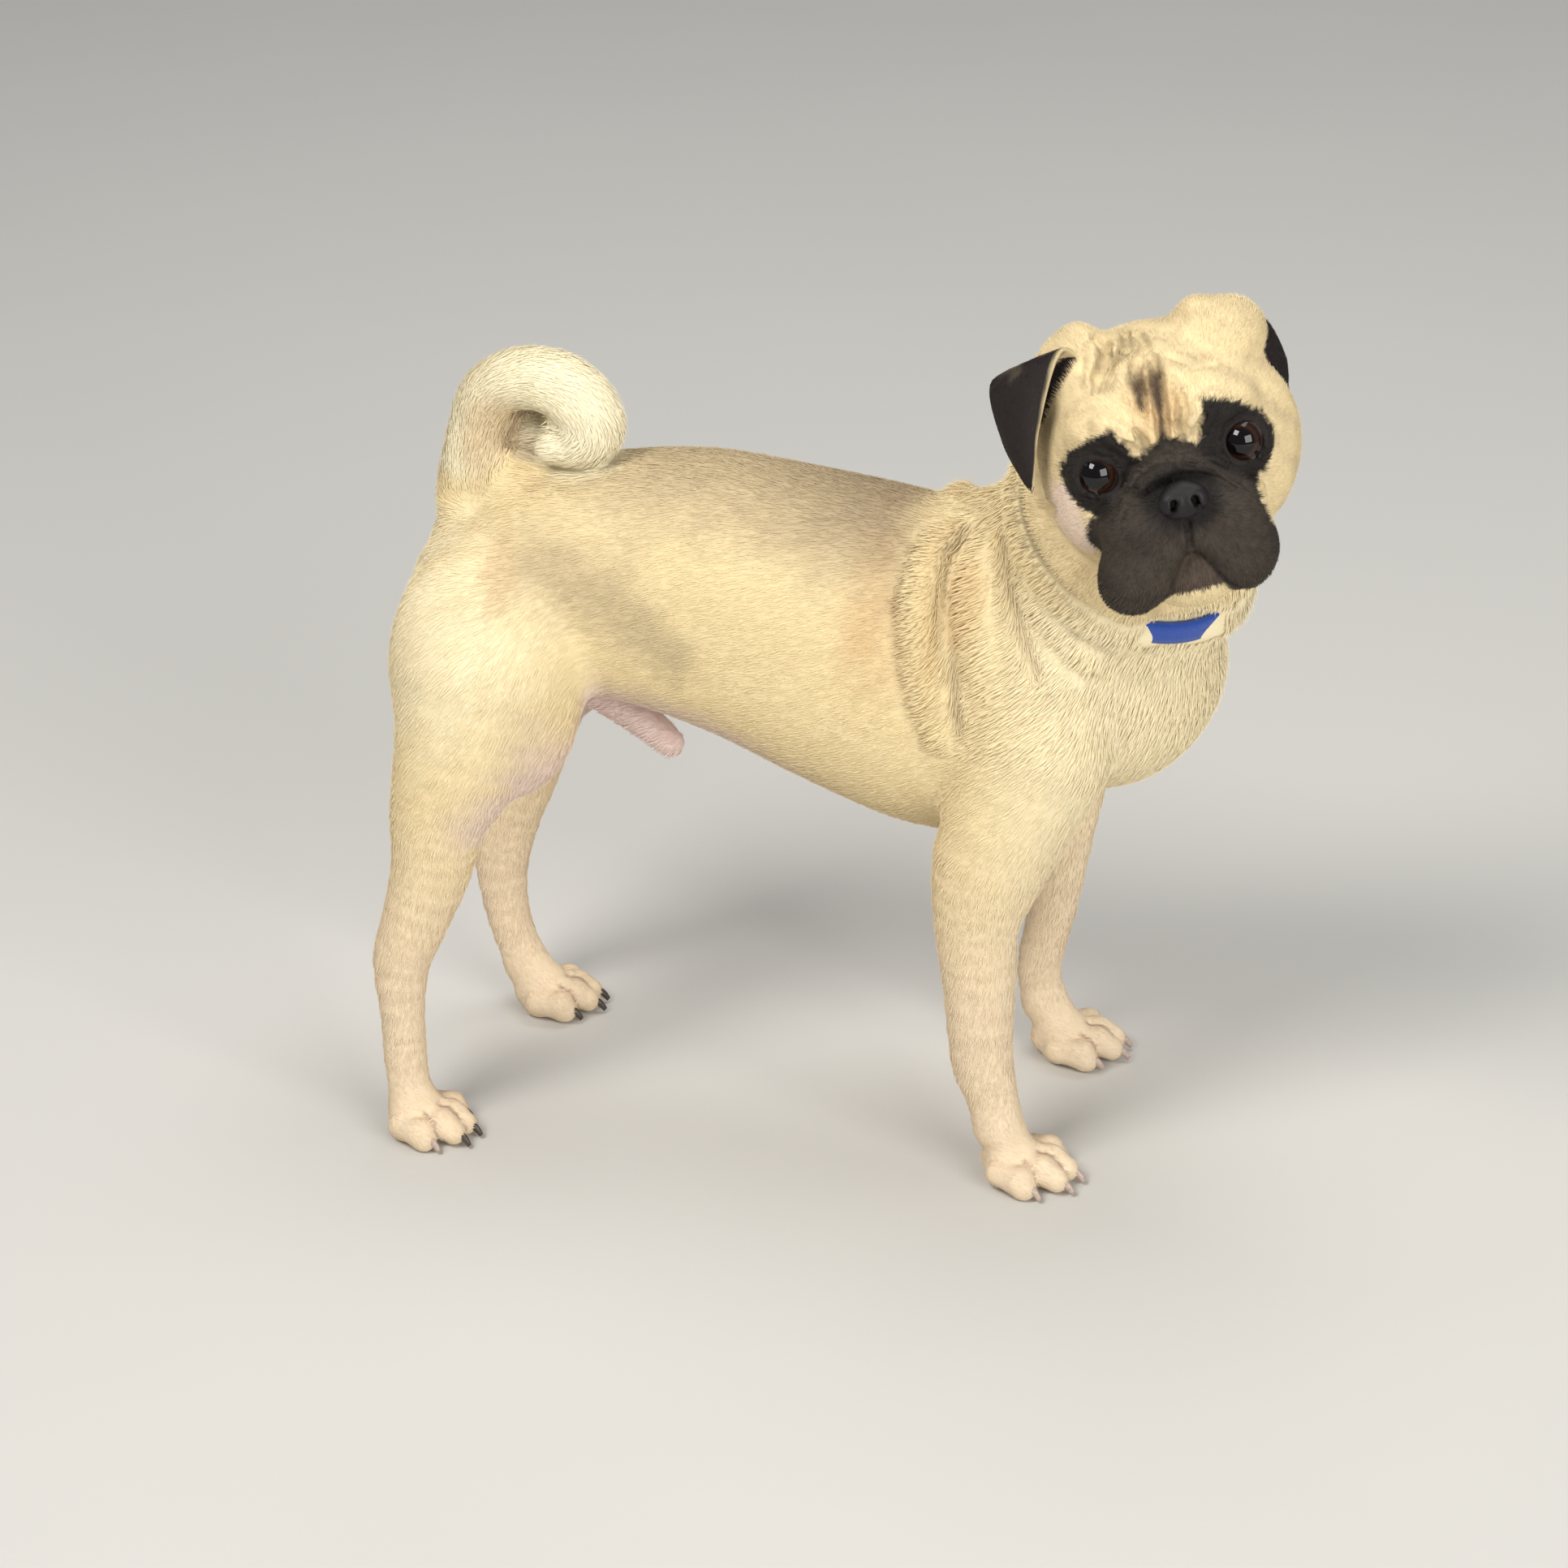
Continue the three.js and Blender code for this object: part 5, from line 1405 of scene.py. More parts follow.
# Boxes of the head, from corner to corner: the front of the face, and the forehead
FINE = (((-18, -43, -56), (99, 43, 40)), ((-40, -26, 25), (99, 26, 99)))
HALF = {"middle": (-28, 0, -4), "round": 72, "back": -62, "paws": 22}
HALF_THROAT = {"along": 2, "within": 12, "off": 62, "away": 40}


def fine_zone(points):
    """The front of the face, with its folds, lids and lips."""
    head = into_head(points)
    return np.any([((head > low) & (head < high)).all(1) for low, high in FINE], axis=0)


def half_zone(points):
    """The face, the skull, the throat and the paws."""
    head = into_head(points)
    along, off, away = into_collar(points)
    throat = np.abs(along - HALF_THROAT["along"]) < HALF_THROAT["within"]
    throat &= (off < HALF_THROAT["off"]) & (away < HALF_THROAT["away"])
    skull = (np.linalg.norm(head - HALF["middle"], axis=1) < HALF["round"]) & (head[:, 0] > HALF["back"])
    return skull | (points[:, 2] < HALF["paws"]) | throat


def make_skin():
    """The skin's mesh, with what its tufts need: colour, lie, shape of tuft, region and unwrap."""
    cell = sizes().cell / MM
    points, faces = net(skin, SKIN_LOW, SKIN_HIGH, cell)
    points = eased(skin, drawn(skin, points), faces, 1)
    piece = mesh_object("skin", points, faces)
    for zone in (half_zone, fine_zone):
        refined(piece, zone)
        set_points(piece.data, drawn(skin, points_of(piece.data)))
    unwrapped(piece)
    mesh = piece.data
    points = points_of(mesh)
    normals = unit(slope(skin, points))
    colour = coat_colour(points, normals)
    lie, tail, on = coat_lie(points, normals)
    keep(mesh, "coat", "FLOAT_COLOR", np.column_stack([colour, np.ones(len(points))]))
    keep(mesh, "lie", "FLOAT_VECTOR", lie)
    keep(mesh, "tuft", "FLOAT_VECTOR", tuft_shape(points, tail, on))
    middles = np.zeros(len(mesh.polygons) * 3, np.float32)
    mesh.polygons.foreach_get("center", middles)
    keep(mesh, "region", "INT", region_of(middles.reshape(-1, 3) / MM - SHIFT), "FACE")
    return piece


def unwrapped(piece):
    """Unwraps the skin, for the place of each tuft on it."""
    bpy.ops.object.select_all(action="DESELECT")
    piece.select_set(True)
    bpy.context.view_layer.objects.active = piece
    bpy.ops.object.mode_set(mode="EDIT")
    bpy.ops.mesh.select_all(action="SELECT")
    bpy.ops.uv.smart_project(angle_limit=math.radians(75), island_margin=0.001)
    bpy.ops.object.mode_set(mode="OBJECT")
    piece.data.uv_layers.active.name = "unwrap"


# How much the tufts stand off the skin on the trunk, and how much more elsewhere, as a slope
LIFT = {"trunk": 0.075, "head": 0.01, "tail": 0.05, "chest": 0.07, "roll": 0.25}


def tuft_shape(points, tail, on):
    """Length, width and lift of the tufts at points of the skin, in metres and as a slope."""
    s = sizes()
    x, _, z = points.T
    length = np.full(len(points), s.back_tuft)
    length += (s.neck_tuft - length) * smooth(70, 100, x) * smooth(170, 230, z)
    length += (s.leg_tuft - length) * (1 - smooth(110, 175, z))
    length += (s.foot_tuft - length) * (1 - smooth(22, 45, z))
    length += (s.tail_tuft - length) * tail
    head = into_head(points)
    face = s.face_tuft * (1 + 0.9 * smooth(-15, -60, head[:, 0]))
    length += (face - length) * on
    width = s.tuft_width * np.clip((length / s.back_tuft) ** 0.75, 0.35, 1.2) * (1 - 0.2 * on)
    chest = smooth(90, 110, x) * (1 - on) * smooth(180, 230, z)
    lift = LIFT["trunk"] + LIFT["head"] * on + LIFT["tail"] * tail + LIFT["chest"] * chest
    # the ridge of loose skin behind the shoulder stands up
    roll = np.minimum(from_line(points, ROLLS[0]), from_line(points, mirrored(ROLLS[0], -1)))
    lift += LIFT["roll"] * (1 - smooth(0.9, 1.5, roll)) * (1 - on)
    return np.column_stack([length, width, lift])


# Painted highlight: how much lighter the tip of the lightest tufts is, which shows on black hair
GLINT = (0.28, 0.24, 0.2)


def hair_finish(name, tuft):
    """Short hair: the colour that the surface carries, uneven in lightness, and rough. A tuft is lighter
    toward its tip, and each has a lightness of its own, and the tips of the lightest tufts carry a painted
    highlight."""
    material, nodes, shader = finish(name, 0.25, Roughness=0.75)
    place = nodes.place()
    light = nodes.ranged(nodes.noise(place, 160.0, 4.0), 0.92, 1.08)
    if tuft:
        shade = nodes.carried("shade", "Fac")
        along = nodes.add("ShaderNodeSeparateXYZ", {0: nodes.carried("leaf", "Vector")}).outputs[0]
        for part in (shade, nodes.ranged(along, 0.9, 1.06)):
            light = nodes.math("MULTIPLY", light, part)
    colour = nodes.vector("SCALE", nodes.carried("coat", "Color"), light)
    if tuft:
        bright = nodes.math("MULTIPLY", nodes.math("MAXIMUM", nodes.math("SUBTRACT", shade, 1.0), 0.0), along)
        colour = nodes.vector("ADD", colour, nodes.vector("SCALE", GLINT, bright))
    nodes.tree.links.new(colour, shader.inputs["Base Color"])
    nodes.raise_up(shader, nodes.noise(place, 900.0, 3.0), 0.35, 0.0006)
    return material


FLESH_NODES = [
    *("head", "neck", "chest", "belly", "rump", "tail_root", "tail_arch", "tail_tip"),
    *[f"{leg}_arm" for leg in LEGS if leg.startswith("fore")],
    *[f"{leg}_{part}" for leg in LEGS if leg.startswith("hind") for part in ("thigh", "shank")],
    *[f"{leg}_paw" for leg in LEGS],
]


def settle(piece, replaced=()):
    """Puts a finished piece on the body and the solids that it stands for."""
    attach(piece, "root")
    if replaced:
        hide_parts(*replaced)


class PUG_OT_skin(bpy.types.Operator):
    """Make the skin of the whole dog, with its folds, markings, painted shade and the lie of its coat"""

    bl_idname = "pug.skin"
    bl_label = "Skin"

    def execute(self, context):
        piece = make_skin()
        piece.data.materials.append(hair_finish("short coat", False))
        settle(piece, FLESH_NODES)
        return {"FINISHED"}


# Eyes

EYEBALL = {"gaze": (1.0, -0.2, 0.14), "clear": 0.25, "bulge": 0.55, "edge": 0.75, "fall": 1.2}
# How far the eye's colours reach from its front, over the ball
EYE_SPAN = 12


def eye_mesh(side, rings=40, spokes=48):
    """An eyeball with its clear front standing a little out, turned to where the dog looks: points,
    faces, and how far each point lies from the front and which way."""
    gaze = unit(np.array(EYEBALL["gaze"]))
    aside = unit(np.cross((0, 0, 1), gaze))
    up = np.cross(gaze, aside)
    centre = np.array([EYE["ahead"], side * EYE["aside"], EYE["up"]])
    radius = EYE["radius"] - EYEBALL["clear"]
    spots, angles, faces = [], [], []
    for i in range(rings + 1):
        polar = math.pi * i / rings
        r = radius + EYEBALL["bulge"] * max(0.0, 1 - (polar / EYEBALL["edge"]) ** 2) ** EYEBALL["fall"]
        for k in range(spokes if 0 < i < rings else 1):
            turn = 2 * math.pi * k / spokes
            way = gaze * math.cos(polar) + (aside * math.cos(turn) + up * math.sin(turn)) * math.sin(polar)
            spots.append(centre + way * r)
            angles.append((polar * radius, turn, 0))

    def start(ring):
        return 0 if ring == 0 else 1 + (ring - 1) * spokes

    for k in range(spokes):
        n = (k + 1) % spokes
        faces.append((0, start(1) + k, start(1) + n))
        for i in range(1, rings - 1):
            a, b = start(i), start(i + 1)
            faces.append((a + k, b + k, b + n, a + n))
        a, b = start(rings - 1), start(rings)
        faces.append((a + k, b, a + n))
    return on_head(spots), faces, np.array(angles)


def eye_finish():
    """Pupil, iris with its streaks, dark rim and white, under a wet coat."""
    c, s = colours(), sizes()
    material, nodes, shader = finish("wet eye", 0.0, Roughness=0.3, Coat_Weight=0.8, Coat_Roughness=0.02)
    parts = nodes.add("ShaderNodeSeparateXYZ", {0: nodes.carried("polar", "Vector")})
    out, turn = parts.outputs[0], parts.outputs[1]
    round_ = {1: nodes.math("SINE", turn), 2: nodes.math("COSINE", turn)}
    place = nodes.add("ShaderNodeCombineXYZ", {0: nodes.math("MULTIPLY", out, 0.25), **round_})
    streaks = nodes.noise(place.outputs[0], 9.0, 5.0)
    edge = nodes.math("ADD", out, nodes.math("MULTIPLY", streaks, 0.5))
    ramp = nodes.add("ShaderNodeValToRGB", {0: nodes.math("DIVIDE", edge, EYE_SPAN)})
    iris, pupil = s.iris / MM, s.pupil / MM
    brown = np.array(c.iris)
    # how far out, in millimetres, and the colour there
    stops = [
        (0.0, (0.002, 0.002, 0.003)),
        (pupil, (0.003, 0.002, 0.002)),
        (pupil + 0.6, brown * 0.7),
        ((pupil + iris) / 2, brown * 1.35),
        (iris - 0.3, brown * 0.5),
        (iris + 0.4, (0.02, 0.012, 0.01)),
        (iris + 1.3, (0.05, 0.035, 0.03)),
        (EYE_SPAN, (0.08, 0.05, 0.045)),
    ]
    while len(ramp.color_ramp.elements) < len(stops):
        ramp.color_ramp.elements.new(0.5)
    for element, (far, colour) in zip(ramp.color_ramp.elements, stops):
        element.position = far / EYE_SPAN
        element.color = (*colour, 1)
    nodes.paint(shader, ramp.outputs[0], nodes.ranged(streaks, 0.5, 1.5))
    return material


class PUG_OT_eyes(bpy.types.Operator):
    """Make both eyeballs, with pupil, iris and wet front"""

    bl_idname = "pug.eyes"
    bl_label = "Eyes"

    def execute(self, context):
        material = eye_finish()
        for side, name in ((1, "eye_left"), (-1, "eye_right")):
            points, faces, polar = eye_mesh(side)
            piece = mesh_object(f"wet_{name}", points, faces)
            keep(piece.data, "polar", "FLOAT_VECTOR", polar)
            piece.data.materials.append(material)
            settle(piece, [name])
        return {"FINISHED"}


# Nose

NOSE = {"at": (11.6, 0, -12.8), "half": (7.0, 9.4, 7.6), "reach": 14, "cell": 0.75}


def nose_field(points):
    """Nose leather: a pad with a wing over each nostril, parted by a groove down its middle."""
    head = into_head(points)
    d = np.full(len(points), OUTSIDE)
    groups = [(3, [ball(NOSE["at"], NOSE["half"])] + both((15, 5.6, -12.5), (3.6, 4, 4.6)))]
    d = worked(d, head, groups)
    nostrils = []
    for side in (-1, 1):
        nostrils.append(rod((19.5, side * 3.9, -12.2, 1.5), (13, side * 4.8, -11.2, 1.3)))
        nostrils.append(rod((19, side * 4.4, -14.4, 1.4), (13, side * 5.4, -13.6, 1.2)))
        nostrils.append(rod((17.6, side * 5.2, -16.4, 1.2), (12.5, side * 9.6, -16.6, 0.9)))
    groove = chain([(19.3, 0, -7.5, 0.5), (19.8, 0, -13, 0.7), (18.6, 0, -18.5, 0.8), (15, 0, -22, 0.9)])
    return worked(d, head, [(1.0, nostrils), (1.2, groove)], carve)


def leather_finish(name, colour):
    """Moist leather with fine pebbles."""
    material, nodes, shader = finish(name, 0.3, Roughness=0.5)
    place = nodes.place()
    pebbles = nodes.add("ShaderNodeTexVoronoi", {"Vector": place, "Scale": 1500.0}, feature="F1")
    nodes.raise_up(shader, pebbles.outputs["Distance"], 0.35, 0.0002, invert=True)
    nodes.paint(shader, tuple(colour), nodes.ranged(nodes.noise(place, 300.0), 0.7, 1.5))
    return material


class PUG_OT_nose(bpy.types.Operator):
    """Make the nose leather, with its nostrils"""

    bl_idname = "pug.nose"
    bl_label = "Nose"

    def execute(self, context):
        middle = on_head(NOSE["at"])
        points, faces = net(nose_field, middle - NOSE["reach"], middle + NOSE["reach"], NOSE["cell"])
        points = drawn(nose_field, points)
        piece = mesh_object("nose_leather", points, faces)
        piece.data.materials.append(leather_finish("nose leather", colours().nose))
        settle(piece, ["nose"])
        return {"FINISHED"}


# Ears

# The side of each ear, its front edge, its back edge and how far the crown between them stands out
EARS = {
    "ear_right": (
        -1,
        [(-27, 25, 42), (-23, 31, 47), (-17, 46, 22), (-13.5, 54, -1.5)],
        [(-58, 38, 30), (-43, 60, 35.5), (-34, 61, 14), (-17, 56, -2)],
        [(0, 1, 1), (0, 2, -0.5), (4, 2, 0), (0, 0, 0)],
    ),
    "ear_left": (
        1,
        [(-34, 34, 37), (-31, 40, 38), (-36, 45.5, 21), (-44, 49.5, 5)],
        [(-68, 38, 23), (-66, 49, 29), (-61, 54.5, 15.5), (-52, 53.5, 3)],
        [(0, 1, 1), (0, 2, 1.5), (0, 2.5, 0), (0, 0, 0)],
    ),
}
EAR_REGION = 50
# Length, width and lift of the ears' tufts
EAR_TUFT = (2.6, 0.36, 0.07)
EAR = {"across": 31, "along": 45, "thick": 3.0, "edge": 1.0}


def ear_sheet(side, front, back, crown):
    """The ear's flap, from its root over the fold to the tip: points of its two faces, and where each
    point lies across and along it."""
    front, back, crown = (np.array(rows, float) for rows in (front, back, crown))
    across, along = EAR["across"], EAR["along"]
    rows = []
    for i in range(across):
        s = i / (across - 1)
        row = smooth_curve(front + (back - front) * s + crown * 4 * s * (1 - s), along)
        rows.append(row * (1, side, 1))
    rows = np.array(rows)
    over = np.gradient(rows, axis=0)
    run = np.gradient(rows, axis=1)
    normal = unit(np.cross(over, run))
    s, t = np.meshgrid(np.linspace(0, 1, across), np.linspace(0, 1, along), indexing="ij")
    inner = np.clip(np.minimum(4 * np.minimum(s, 1 - s), 5 * (1 - t)), 0, 1)
    half = (EAR["edge"] + (EAR["thick"] - EAR["edge"]) * np.sqrt(inner)) / 2
    faces = [rows + face * half[..., None] * normal for face in (1, -1)]
    return np.concatenate([f.reshape(-1, 3) for f in faces]), np.stack([s, t], -1).reshape(-1, 2)


def ear_faces():
    """The faces of an ear's two sides and of its rim."""
    across, along = EAR["across"], EAR["along"]
    sheet = across * along
    faces = []
    for i in range(across - 1):
        for j in range(along - 1):
            a = i * along + j
            faces.append((a, a + along, a + along + 1, a + 1))
            faces.append((sheet + a, sheet + a + 1, sheet + a + along + 1, sheet + a + along))
    rim = list(range(along - 1))
    rim += [i * along + along - 1 for i in range(across - 1)]
    rim += [(across - 1) * along + j for j in range(along - 1, 0, -1)]
    rim += [i * along for i in range(across - 1, 0, -1)]
    for a, b in zip(rim, rim[1:] + rim[:1]):
        faces.append((a, b, sheet + b, sheet + a))
    return faces


def dress_ear(piece, s, t):
    """Marks an ear for its tufts: their lie, shape and region, and its two sides laid flat."""
    mesh = piece.data
    sheets = points_of(mesh).reshape(2, EAR["across"], EAR["along"], 3)
    keep(mesh, "lie", "FLOAT_VECTOR", unit(np.gradient(sheets, axis=2)).reshape(-1, 3))
    length, width, lift = EAR_TUFT
    keep(mesh, "tuft", "FLOAT_VECTOR", np.tile([length * MM, width * MM, lift], (len(s), 1)))
    keep(mesh, "region", "INT", np.full(len(mesh.polygons), EAR_REGION), "FACE")
    other = np.repeat([0.0, 0.5], len(s) // 2)
    corners = np.zeros(len(mesh.loops), np.int32)
    mesh.loops.foreach_get("vertex_index", corners)
    flat = np.column_stack([other + 0.02 + 0.44 * s, 0.02 + 0.94 * t])[corners]
    mesh.uv_layers.new(name="unwrap").data.foreach_set("uv", flat.astype(np.float32).ravel())


class PUG_OT_ears(bpy.types.Operator):
    """Make both ears, velvet black with a tan rim that is partly a painted highlight"""

    bl_idname = "pug.ears"
    bl_label = "Ears"

    def execute(self, context):
        c = colours()
        material = hair_finish("velvet", False)
        for name, (side, front, back, crown) in EARS.items():
            points, place = ear_sheet(side, front, back, crown)
            faces = ear_faces()
            if side < 0:
                faces = [f[::-1] for f in faces]
            piece = mesh_object(f"velvet_{name}", on_head(points), faces)
            s, t = np.tile(place, (2, 1)).T
            wave = ripple(points, 9, 3)
            root = 1 - smooth(0.08, 0.36, t + 0.06 * wave)
            # lighter rim along the front edge: partly tan hair, partly a painted highlight on the rolled edge
            rim = 1 - smooth(0.0, 0.055, s + 0.01 * wave)
            colour = mixed(np.tile(np.array(c.ear), (len(points), 1)), c.cream, np.maximum(root, rim * 0.7))
            keep(piece.data, "coat", "FLOAT_COLOR", np.column_stack([colour, np.ones(len(points))]))
            dress_ear(piece, s, t)
            piece.data.materials.append(material)
            settle(piece, [name])
        return {"FINISHED"}


# Claws

CLAW = {
    "sides": 10, "rings": 9, "radius": 2.2, "point": 1.1, "taper": 1.3, "flat": 0.8, "root": 3.6,
    "rise": 5.4, "clearance": 1.6, "lowest": 0.15,
}


def claw_mesh(joints, heading):
    """A horn that bends down to the floor, with its root in the toe."""
    length = sizes().claw / MM
    forward = np.array([math.cos(math.radians(heading)), math.sin(math.radians(heading)), 0])
    aside = np.array([-forward[1], forward[0], 0])
    start = np.array(joints[2][:3]) + forward * CLAW["root"]
    start[2] = CLAW["rise"]
    end = start + forward * (length - CLAW["root"])
    end[2] = CLAW["clearance"]
    dip = start[2] - end[2]
    points, faces = [], []
    for ring in range(CLAW["rings"]):
        t = ring / (CLAW["rings"] - 1)
        middle = start + (end - start) * t
        middle[2] = start[2] - dip * t * t
        tilt = math.atan2(2 * dip * t, length)
        radius = CLAW["radius"] + (CLAW["point"] - CLAW["radius"]) * t ** CLAW["taper"]
        for k in range(CLAW["sides"]):
            turn = 2 * math.pi * k / CLAW["sides"]
            over = radius * math.sin(turn)
            spot = middle + aside * radius * CLAW["flat"] * math.cos(turn) + forward * over * math.sin(tilt)
            spot[2] = max(spot[2] + over * math.cos(tilt), CLAW["lowest"])
            points.append(spot)
    n = CLAW["sides"]
    for ring in range(CLAW["rings"] - 1):
        for k in range(n):
            a, b = ring * n + k, ring * n + (k + 1) % n
            faces.append((a, b, b + n, a + n))
    faces.append(tuple(range(n))[::-1])
    last = (CLAW["rings"] - 1) * n
    faces.append(tuple(range(last, last + n)))
    return points, faces


def horn_finish(name, colour):
    """Horn with a fine grain."""
    material, nodes, shader = finish(name, 0.5, Roughness=0.36)
    grain = nodes.noise(nodes.place(), 700.0, 3.0)
    nodes.paint(shader, tuple(colour), nodes.ranged(grain, 0.6, 1.35))
    nodes.raise_up(shader, grain, 0.3, 0.0003)
    return material


class PUG_OT_claws(bpy.types.Operator):
    """Make the claws, four to a paw"""

    bl_idname = "pug.claws"
    bl_label = "Claws"

    def execute(self, context):
        c = colours()
        pale, dark = horn_finish("pale horn", c.claw), horn_finish("dark horn", c.dark_claw)
        for leg, shape in LEGS.items():
            points, faces, tones = [], [], []
            for toe, (joints, heading) in enumerate(toes_of(shape["paw"])):
                spots, rings = claw_mesh(joints, heading)
                faces += [tuple(v + len(points) for v in face) for face in rings]
                points += spots
                is_pale = leg.startswith("fore") or (leg == "hind_right" and toe == 0)
                tones += [0 if is_pale else 1] * len(rings)
            piece = mesh_object(f"claws_{leg}", np.array(points), faces)
            piece.data.materials.append(pale)
            piece.data.materials.append(dark)
            piece.data.polygons.foreach_set("material_index", tones)
            settle(piece)
        return {"FINISHED"}


# Collar

# The band's section as shares of its width and thickness, and how its weave is spaced
BAND = ((-0.5, 0), (-0.5, 0.75), (-0.46, 1), (-0.2, 1), (0.2, 1), (0.46, 1), (0.5, 0.75), (0.5, 0))
WEAVE = {"step": 1.1, "along": 5.2, "across": 12.0}


class PUG_OT_collar(bpy.types.Operator):
    """Make the collar, a woven band with rounded edges"""

    bl_idname = "pug.collar"
    bl_label = "Collar"

    def execute(self, context):
        wide, thick, sunk = COLLAR["wide"], COLLAR["thick"], COLLAR["sunk"]
        loops = []
        for along, side in BAND:
            start, out, near = collar_ring(along * wide)
            loops.append(start + out * (near + (side * thick - sunk))[:, None])
        count = len(BAND)
        points = np.stack(loops, 1).reshape(-1, 3)
        faces, places = [], []
        for k in range(COLLAR["steps"]):
            n = (k + 1) % COLLAR["steps"]
            for c in range(count):
                d = (c + 1) % count
                faces.append((k * count + c, n * count + c, n * count + d, k * count + d))
                here, there = k * WEAVE["step"], (k + 1) * WEAVE["step"]
                places += [(here, c), (there, c), (there, c + 1), (here, c + 1)]
        piece = mesh_object("webbing", points, faces)
        web = piece.data.uv_layers.new(name="web")
        web.data.foreach_set("uv", np.array(places, np.float32).ravel())
        piece.data.materials.append(webbing_finish(colours().collar))
        settle(piece, ["collar"])
        return {"FINISHED"}


def webbing_finish(colour):
    """Woven webbing, its threads in squares."""
    material, nodes, shader = finish("webbing", 0.4, Roughness=0.62, Sheen_Weight=0.2)
    web = nodes.add("ShaderNodeUVMap", uv_map="web").outputs[0]
    parts = nodes.add("ShaderNodeSeparateXYZ", {0: web}).outputs
    along = nodes.math("SINE", nodes.math("MULTIPLY", parts[0], WEAVE["along"]))
    across = nodes.math("SINE", nodes.math("MULTIPLY", parts[1], WEAVE["across"]))
    weave = nodes.math("MULTIPLY", along, across)
    nodes.paint(shader, tuple(colour), nodes.ranged(weave, 0.75, 1.2, start=-1.0))
    nodes.raise_up(shader, weave, 0.5, 0.0004)
    return material


# Coat

LEAF = [(0, 0, -0.1), (0.42, 0.5, 0.1), (0.42, -0.5, 0.1), (0.45, 0, 0.28), (1, 0, 0.05)]
LEAF_FACES = [(0, 3, 1), (0, 2, 3), (1, 3, 4), (3, 2, 4), (0, 1, 2), (1, 4, 2)]


def leaf_object():
    """One tuft: a slim leaf with a ridge, of length and width one, that rises a little and falls."""
    mesh = bpy.data.meshes.new("tuft")
    mesh.from_pydata(LEAF, [], LEAF_FACES)
    keep(mesh, "leaf", "FLOAT_VECTOR", [(x, y + 0.5, 0) for x, y, _ in LEAF])
    piece = bpy.data.objects.new("tuft", mesh)
    bpy.context.scene.collection.objects.link(piece)
    return piece


# How much of the unwrap a tuft covers
PATCH = 0.003
# What varies from tuft to tuft: the least, the most, and its own stream of random numbers
VARIES = {
    "lift": (0.3, 1.6, 11), "width": (0.7, 1.3, 23), "length": (0.65, 1.2, 37), "light": (-1.0, 1.0, 53)
}
TUFT_HEIGHT = 0.8


